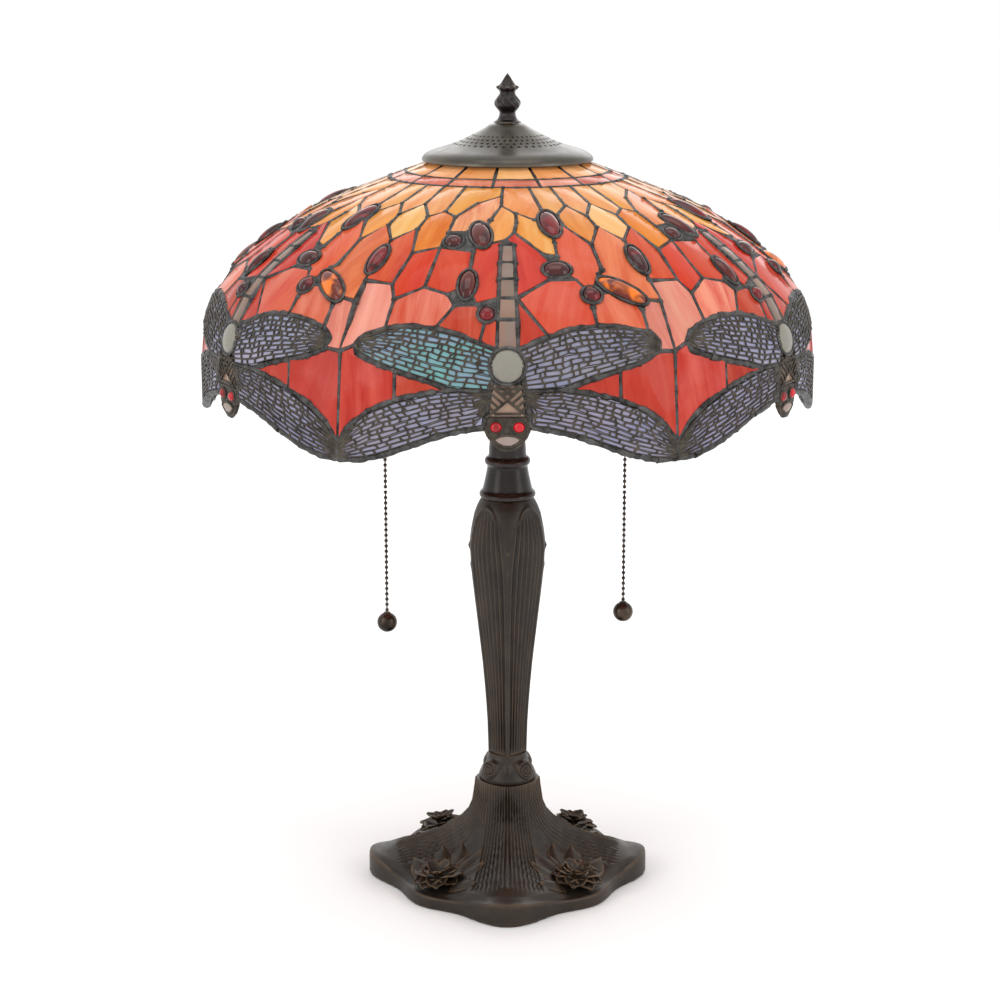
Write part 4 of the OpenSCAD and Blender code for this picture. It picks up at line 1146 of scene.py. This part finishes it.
def column_place(a, t):
    z = COLUMN_FOOT + COLUMN_TALL * t
    r = squared(a, table(COLUMN, z), table(SQUARE, z))
    from_corner = abs((a + TURN / 8) % (TURN / 4) - TURN / 8)
    side = r * math.sin(from_corner)
    reach = r * math.sin(TURN / 8)
    strip = table(STRIP, z)
    share = (side - strip) / max(reach - strip, 0.1)
    across = 1 - share
    arch = 257 + 15 * math.sqrt(max(0, 1 - min(across, 1) ** 2))
    inside = step(side - strip, 0, 0.9) * (1 - step(z, arch - 1.6, arch)) * step(z, 92, 96)
    reeds = 0.62 * math.cos(math.pi * REEDS * share) * step(arch - z, 1, 9)
    rim = 0.75 * hump(z, arch + 0.7, 1.5) * step(side - strip, -1.5, 0.5)
    edge = 0.35 * hump(side - strip, -0.5, 0.8) * (1 - step(z, 252, 262))
    spine = 0.5 * hump(side, 0, 0.9) * (1 - step(z, 226, 238))
    boss = 1.0 * math.exp(-(side / 1.7) ** 2 - ((z - 243) / 2.2) ** 2)
    boss += 0.35 * math.exp(-(side / 1.2) ** 2 - ((z - 229) / 2.0) ** 2)
    return r - inside * (0.95 - reeds) + rim + edge + spine - 0.7 + boss, z


column = smooth(rolled("reeded_column", 288, 190, column_place), 60)
dress(column, bronze, "root", "bronze", "column_casting")

# %% [markdown]
# Above the column a plain turned collar carries two beads, and below it a second collar
# has a scroll on each diagonal face. The scroll is a spiral groove pressed into the skin:
# where a point lies in the scroll's own circle, its distance and direction from the middle
# say whether it is on the ridge or in the groove.

# %% Collars
COLLAR = [(18.2, 277.9), (19.3, 278.6), (19.6, 280.4), (18.8, 282), (17.6, 282.8),
          (17.0, 284.4), (16.4, 287), (15.4, 291.5), (14.6, 295.5), (14.0, 299),
          (13.9, 300.4), (15.3, 301.4), (15.9, 303.2), (15.5, 305), (14.2, 306),
          (13.2, 306.6), (12.9, 309), (12.8, 313), (12.2, 317.8)]
collar_at = by_length(softened(COLLAR), profile_gap)
collar = smooth(rolled("turned_collar", 96, 80, lambda a, t: collar_at(t)), 50)
dress(collar, black_bronze, "root", "bronze", "column_collar")
SCROLL_FOOT, SCROLL_TALL = 72.7, 19.2
SCROLL = [(72.7, 19.6), (75, 20.0), (78, 18.9), (82, 16.9), (86, 15.0), (89, 14.0), (91.9, 13.5)]


def scroll_place(a, t):
    z = SCROLL_FOOT + SCROLL_TALL * t
    r = squared(a, table(SCROLL, z) * 1.02, 1.85)
    off = (a + TURN / 4) % (TURN / 4) - TURN / 8
    x, y = r * math.sin(off), z - 81.8
    d = math.hypot(x, y)
    spiral = math.cos(TURN * (d / 2.3 - math.atan2(y, x) / TURN))
    disc = 1 - step(d, 5.6, 7.0)
    groove = 0.5 * spiral * (1 - step(d, 5.2, 5.9)) * step(d, 0.4, 1.0)
    lift = 2.5 * disc * (0.55 + 0.45 * step(y, -7, 4))
    brow = 0.9 * hump(y, 6.2 - 0.055 * x * x, 1.3) * (1 - step(abs(x), 9, 12))
    vee = -1.6 * hump(abs(off) - TURN / 8, 0, 0.16) * hump(z, 84, 6)
    return r + lift + groove + brow + vee, z


scrolls = smooth(rolled("scroll_collar", 288, 64, scroll_place), 60)
dress(scrolls, bronze, "root", "bronze", "volute_collar")

# %% [markdown]
# ### Base
# The base flares from a fluted neck into four lobes. The flutes of the neck run on down each
# lobe as a fan with a raised line in its middle, bowls lie between the lobes, and a smooth
# rim wall goes all round, highest at the lobes.

# %% Base skin
BASE_TOP, WALL_FROM, FLUTES = 72.2, 0.88, 8.5
RIDGE = [(18, 72.2), (22.4, 66), (24, 55), (26.5, 49), (32, 43), (40, 37), (50, 31.5),
         (65, 25.5), (80, 20.4), (87, 17.4), (92, 16.8), (97.5, 18.2), (104, 17.2)]
VALLEY = [(16, 72.2), (19.5, 62), (22.5, 50), (27, 39), (34, 28.5), (42, 20.5), (52, 15),
          (64, 12.0), (78, 9.4), (84, 8.9), (88, 10.6), (104, 10)]
FAN = [(22, 15.6), (30, 18), (45, 21), (60, 24), (78, 27), (95, 30)]


def rim_reach(a): return 90 + 5.5 * math.cos(4 * a) + 4 * math.cos(8 * a)
def rim_height(a): return 12 + 4 * math.cos(4 * a) + 1.5 * math.cos(8 * a)


def base_height(a, r):
    """The casting's height before its flutes: part ridge, part valley."""
    w = ((1 + math.cos(4 * a)) / 2) ** 1.3
    return w * table(RIDGE, r) + (1 - w) * table(VALLEY, r)


def base_place(a, t):
    rim, top = rim_reach(a), rim_height(a)
    if t > WALL_FROM:
        wall = [(rim - 2.6, top - 0.2), (rim - 1.2, top), (rim - 0.2, top - 1.2),
                (rim, top * 0.55), (rim, 1.6), (rim - 0.7, 0.3), (rim - 2.4, 0),
                (83, 0), (81, 0), (80.6, 1.5)]
        return by_length(wall, profile_gap)((t - WALL_FROM) / (1 - WALL_FROM))
    u = (t / WALL_FROM) ** 1.45
    r = (1 - u) * squared(a, 22.3, 1.6) + u * (rim - 2.6)
    off = (a + TURN / 8) % (TURN / 4) - TURN / 8
    z = BASE_TOP if u == 0 else base_height(a, r)
    q = r * math.sin(off) / table(FAN, r)
    inside = 1 - step(abs(q), 0.93, 1.0) * step(r, 24, 30)
    border = 1.1 * hump(abs(q), 1.02, 0.06) * step(r, 27, 36) * (1 - step(r, 70, 82))
    flute = 0.6 * math.cos(TURN * FLUTES * q) * inside * (1 - step(r, 76, 84)) * step(t, 0, 0.006)
    flute += 0.7 * hump(q, 0, 0.035) * (1 - step(r, 74, 82))
    steep = 1 - step(r, 26, 40)
    blend = step(t, 0.83, 0.88)
    z = z * (1 - blend) + (top - 0.2) * blend
    return r + flute * steep, min(z + (flute * (1 - steep) + border) * (1 - blend), BASE_TOP)


base = smooth(rolled("lobed_base", 432, 150, base_place), 60)
print("base", triangles(base), "triangles")

# %% [markdown]
# A flower and its leaves lie in each bowl. A petal is a small grid, pinched at both ends and
# cupped, with veins along it. Nine broad petals lie round a ring of seven narrow ones,
# and a tuft of stamens stands in the middle. Leaves are longer petals that lie on the
# casting's own surface, so each of their points is lifted from the base function.

# %% Petals
def petal(length, width, cup, droop, curl, cuts):
    """A petal from the origin along +X."""
    bpy.ops.object.select_all(action="DESELECT")
    bpy.ops.mesh.primitive_grid_add(x_subdivisions=cuts[1], y_subdivisions=cuts[0], size=1)
    piece = bpy.context.object
    for v in piece.data.vertices:
        u, w = v.co.x + 0.5, v.co.y * 2
        belly = math.sin(math.pi * min(u * 0.62 + 0.2, 1)) ** 1.2
        wide = width * (0.28 + 0.72 * belly) * (1 - step(u, 0.8, 1.04) * 0.8)
        high = (cup * w * w * math.sin(math.pi * u) - droop * u * u + curl * u ** 4
                + 0.4 * math.cos(3 * math.pi * w) * u)
        v.co = (length * u * MM, 0.5 * wide * w * MM, high * MM)
    modify(piece, "SOLIDIFY", thickness=0.0011, offset=-1)
    return piece


def fan_of(leaf, count, lift, tilt, turn=0.0):
    out = []
    for i in range(count):
        spin = Matrix.Rotation(i * TURN / count + turn + rng.uniform(-0.1, 0.1), 4, "Z")
        size = rng.uniform(0.92, 1.08)
        lean = Matrix.Rotation(-math.radians(tilt + rng.uniform(-7, 7)), 4, "Y")
        rise = Matrix.Translation((0, 0, lift * MM))
        out.append(copy_of(leaf, rise @ spin @ lean @ Matrix.Scale(size, 4)))
    return out


broad = petal(18.5, 15.0, 3.0, 3.4, 1.0, (10, 12))
narrow = petal(12.0, 9.0, 2.0, 0.6, 0.8, (8, 8))
bpy.ops.object.select_all(action="DESELECT")
bpy.ops.mesh.primitive_uv_sphere_add(segments=12, ring_count=8, radius=1)
pip = bpy.context.object


def pressed(x, y, z, wide, high):
    """A copy of the pip, moved and pressed, in mm."""
    size = Matrix.Diagonal((wide * MM, wide * MM, high * MM, 1))
    return copy_of(pip, Matrix.Translation((x * MM, y * MM, z * MM)) @ size)


stamens = [pressed(1.9 * math.cos(i * 2.4) * (i / 13) ** 0.5 * 1.6,
                   1.9 * math.sin(i * 2.4) * (i / 13) ** 0.5 * 1.6, 3.4, 0.95, 1.2)
           for i in range(14)]
petals = fan_of(broad, 9, 1.2, 12) + fan_of(narrow, 7, 3.0, 34, 0.2)
flower = join([pressed(0, 0, 0.6, 5.2, 2.2)] + stamens + petals, "flower")
drop(broad, narrow, pip)
print("one flower has", triangles(flower), "triangles")

# %% Leaves on the casting
def laid_leaf(a0, r0, a1, r1, width, bend):
    """A leaf that lies on the base between two places; a in degrees from a diagonal."""
    bpy.ops.object.select_all(action="DESELECT")
    bpy.ops.mesh.primitive_grid_add(x_subdivisions=12, y_subdivisions=6, size=1)
    piece = bpy.context.object
    p = Vector((r0 * cosd(a0), r0 * sind(a0)))
    q = Vector((r1 * cosd(a1), r1 * sind(a1)))
    along_leaf = q - p
    side = Vector((-along_leaf.y, along_leaf.x)).normalized()
    for v in piece.data.vertices:
        u, w = v.co.x + 0.5, v.co.y * 2
        half = 0.5 * width * math.sin(math.pi * min(1, 0.3 + 0.7 * u)) ** 0.7
        at = p + along_leaf * u + side * (half * w + bend * math.sin(math.pi * u))
        r, a = at.length, math.atan2(at.y, at.x) + TURN / 8
        rib = 2.0 * (1 - abs(w)) + 0.5 * math.cos(5 * math.pi * w) * (1 - w * w) + 0.3
        swell = rib * math.sin(math.pi * (0.08 + 0.84 * u)) ** 0.5
        v.co = (r * math.cos(a) * MM, r * math.sin(a) * MM,
                (base_height(a, r) + swell - 0.5 * abs(w) ** 3) * MM)
    modify(piece, "SOLIDIFY", thickness=0.0012, offset=0)
    return piece


LEAVES = [(3, 56, 15, 37, 17, 2), (-3, 56, -15, 37, 17, -2), (9, 60, 25, 49, 18, 1.5),
          (-9, 60, -25, 49, 18, -1.5), (0, 56, 0.5, 40, 17, 0), (12, 70, 26, 70, 15, 1),
          (-12, 70, -26, 70, 15, -1)]
tuft = join([laid_leaf(*leaf) for leaf in LEAVES], "tuft")
cast_parts = []
face_out = Matrix.Rotation(TURN / 8, 4, "Z")
for k in range(4):
    spin = Matrix.Rotation(k * TURN / 4, 4, "Z")
    up = Matrix.Translation((68 * MM, 0, 15.0 * MM)) @ Matrix.Rotation(math.radians(9), 4, "Y")
    cast_parts.append(copy_of(flower, spin @ face_out @ up @ Matrix.Rotation(0.4 * k, 4, "Z")))
    cast_parts.append(copy_of(tuft, spin))
drop(flower, tuft)
base = smooth(join([base] + cast_parts, "lobed_base"), 50)
dress(base, bronze, "root", "bronze", "base_casting")

# %% [markdown]
# ### Pull chains
# The bead chains hang from small bells. Their beads already have the right shape, so they
# only get a finish. Each chain ends in a heavier ball with a short neck and a lip, made from
# a sphere, a cylinder and a ring.

# %% End balls and chains
def give_finish(node, finish):
    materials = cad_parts[node].data.materials
    materials.clear()
    materials.append(finish)


chain_metal = dark_metal("oiled chain bronze", linear(44, 38, 34), linear(84, 72, 64),
                         (0.24, 0.38), 300.0, 0.15, 0.0001, 0.9)
for side in ("left", "right"):
    low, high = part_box(f"{side}_chain_ball")
    x, y = (low.x + high.x) / 2, (low.y + high.y) / 2
    radius = (high.x - low.x) / 2
    bpy.ops.object.select_all(action="DESELECT")
    bpy.ops.mesh.primitive_uv_sphere_add(segments=48, ring_count=32, radius=radius,
                                         location=(x, y, low.z + radius))
    ball = settle(bpy.context.object)
    bpy.ops.mesh.primitive_cylinder_add(vertices=24, radius=0.0022, depth=0.002,
                                        location=(x, y, high.z - 0.001))
    neck = settle(bpy.context.object)
    modify(neck, "BEVEL", width=0.0004, segments=3, limit_method="ANGLE")
    bpy.ops.mesh.primitive_torus_add(major_radius=0.0023, minor_radius=0.0005,
                                     major_segments=28, minor_segments=8,
                                     location=(x, y, high.z - 0.0011))
    lip = settle(bpy.context.object)
    ball = smooth(join([ball, neck, lip], f"{side}_end_ball"), 50)
    dress(ball, chain_metal, f"{side}_lower_length", "bronze", f"{side}_chain_ball")
    for part in ("pull_link", "chain_upper", "chain_lower"):
        give_finish(f"{side}_{part}", chain_metal)

# %% [markdown]
# ## Inside the shade
# The lampholders, the tube, the bulbs and the rings are the measured parts themselves, in
# the finishes such fittings have: lacquered brass, zinc-plated steel, dark moulded plastic,
# and pearl glass that glows.

# %% Fittings
def plain_finish(name, low, high, roughness, scale=160, bump=0.08, **sockets):
    f = Finish(name, **sockets)
    where = f.place()
    cloud = f.grain(where, scale, 4)
    gloss = f.ramp(f.grain(where, scale * 0.5, 3), (0.3, roughness[0]), (0.7, roughness[1]))
    return f.wire(Base_Color=f.ramp(cloud, (0.3, low), (0.7, high)), Roughness=gloss,
                  Normal=f.bump(f.grain(where, scale * 5, 2), bump, 0.0001))


brass = plain_finish("lacquered brass", linear(150, 116, 60), linear(186, 148, 84),
                     (0.22, 0.36), Metallic=0.95)
zinc = plain_finish("zinc-plated steel", linear(150, 150, 148), linear(186, 186, 182),
                    (0.28, 0.42), Metallic=0.95)
switch_plastic = plain_finish("dark moulded plastic", linear(24, 22, 21), linear(38, 35, 33),
                              (0.3, 0.45))
rubber = plain_finish("black rubber", linear(22, 22, 22), linear(34, 34, 34), (0.6, 0.8),
                      300, 0.2)
felt = plain_finish("green felt", linear(26, 52, 36), linear(44, 78, 56), (0.85, 0.98),
                    700, 0.9, Sheen_Weight=0.4)
pearl = plain_finish("lit pearl glass", linear(255, 238, 214), linear(255, 246, 230),
                     (0.3, 0.4), 60, Emission_Strength=1.2,
                     Emission_Color=(1.0, 0.86, 0.66, 1))
fittings = {brass: ["shade_ring", "finial_insert", "finial_stud", "shade_wheel",
                    "holder_caps", "holder_shells", "screw_shells", "centre_contacts",
                    "left_ratchet", "right_ratchet"],
            zinc: ["threaded_tube", "tube_nuts", "bulb_caps", "base_washer"],
            switch_plastic: ["switch_bodies"], rubber: ["cord_grommet"], felt: ["felt_pad"],
            pearl: ["bulb_glass"], bronze: ["cluster_body", "cluster_arms", "chain_bells"]}
for finish, nodes in fittings.items():
    for node in nodes:
        give_finish(node, finish)
print("fittings finished:", sum(len(n) for n in fittings.values()))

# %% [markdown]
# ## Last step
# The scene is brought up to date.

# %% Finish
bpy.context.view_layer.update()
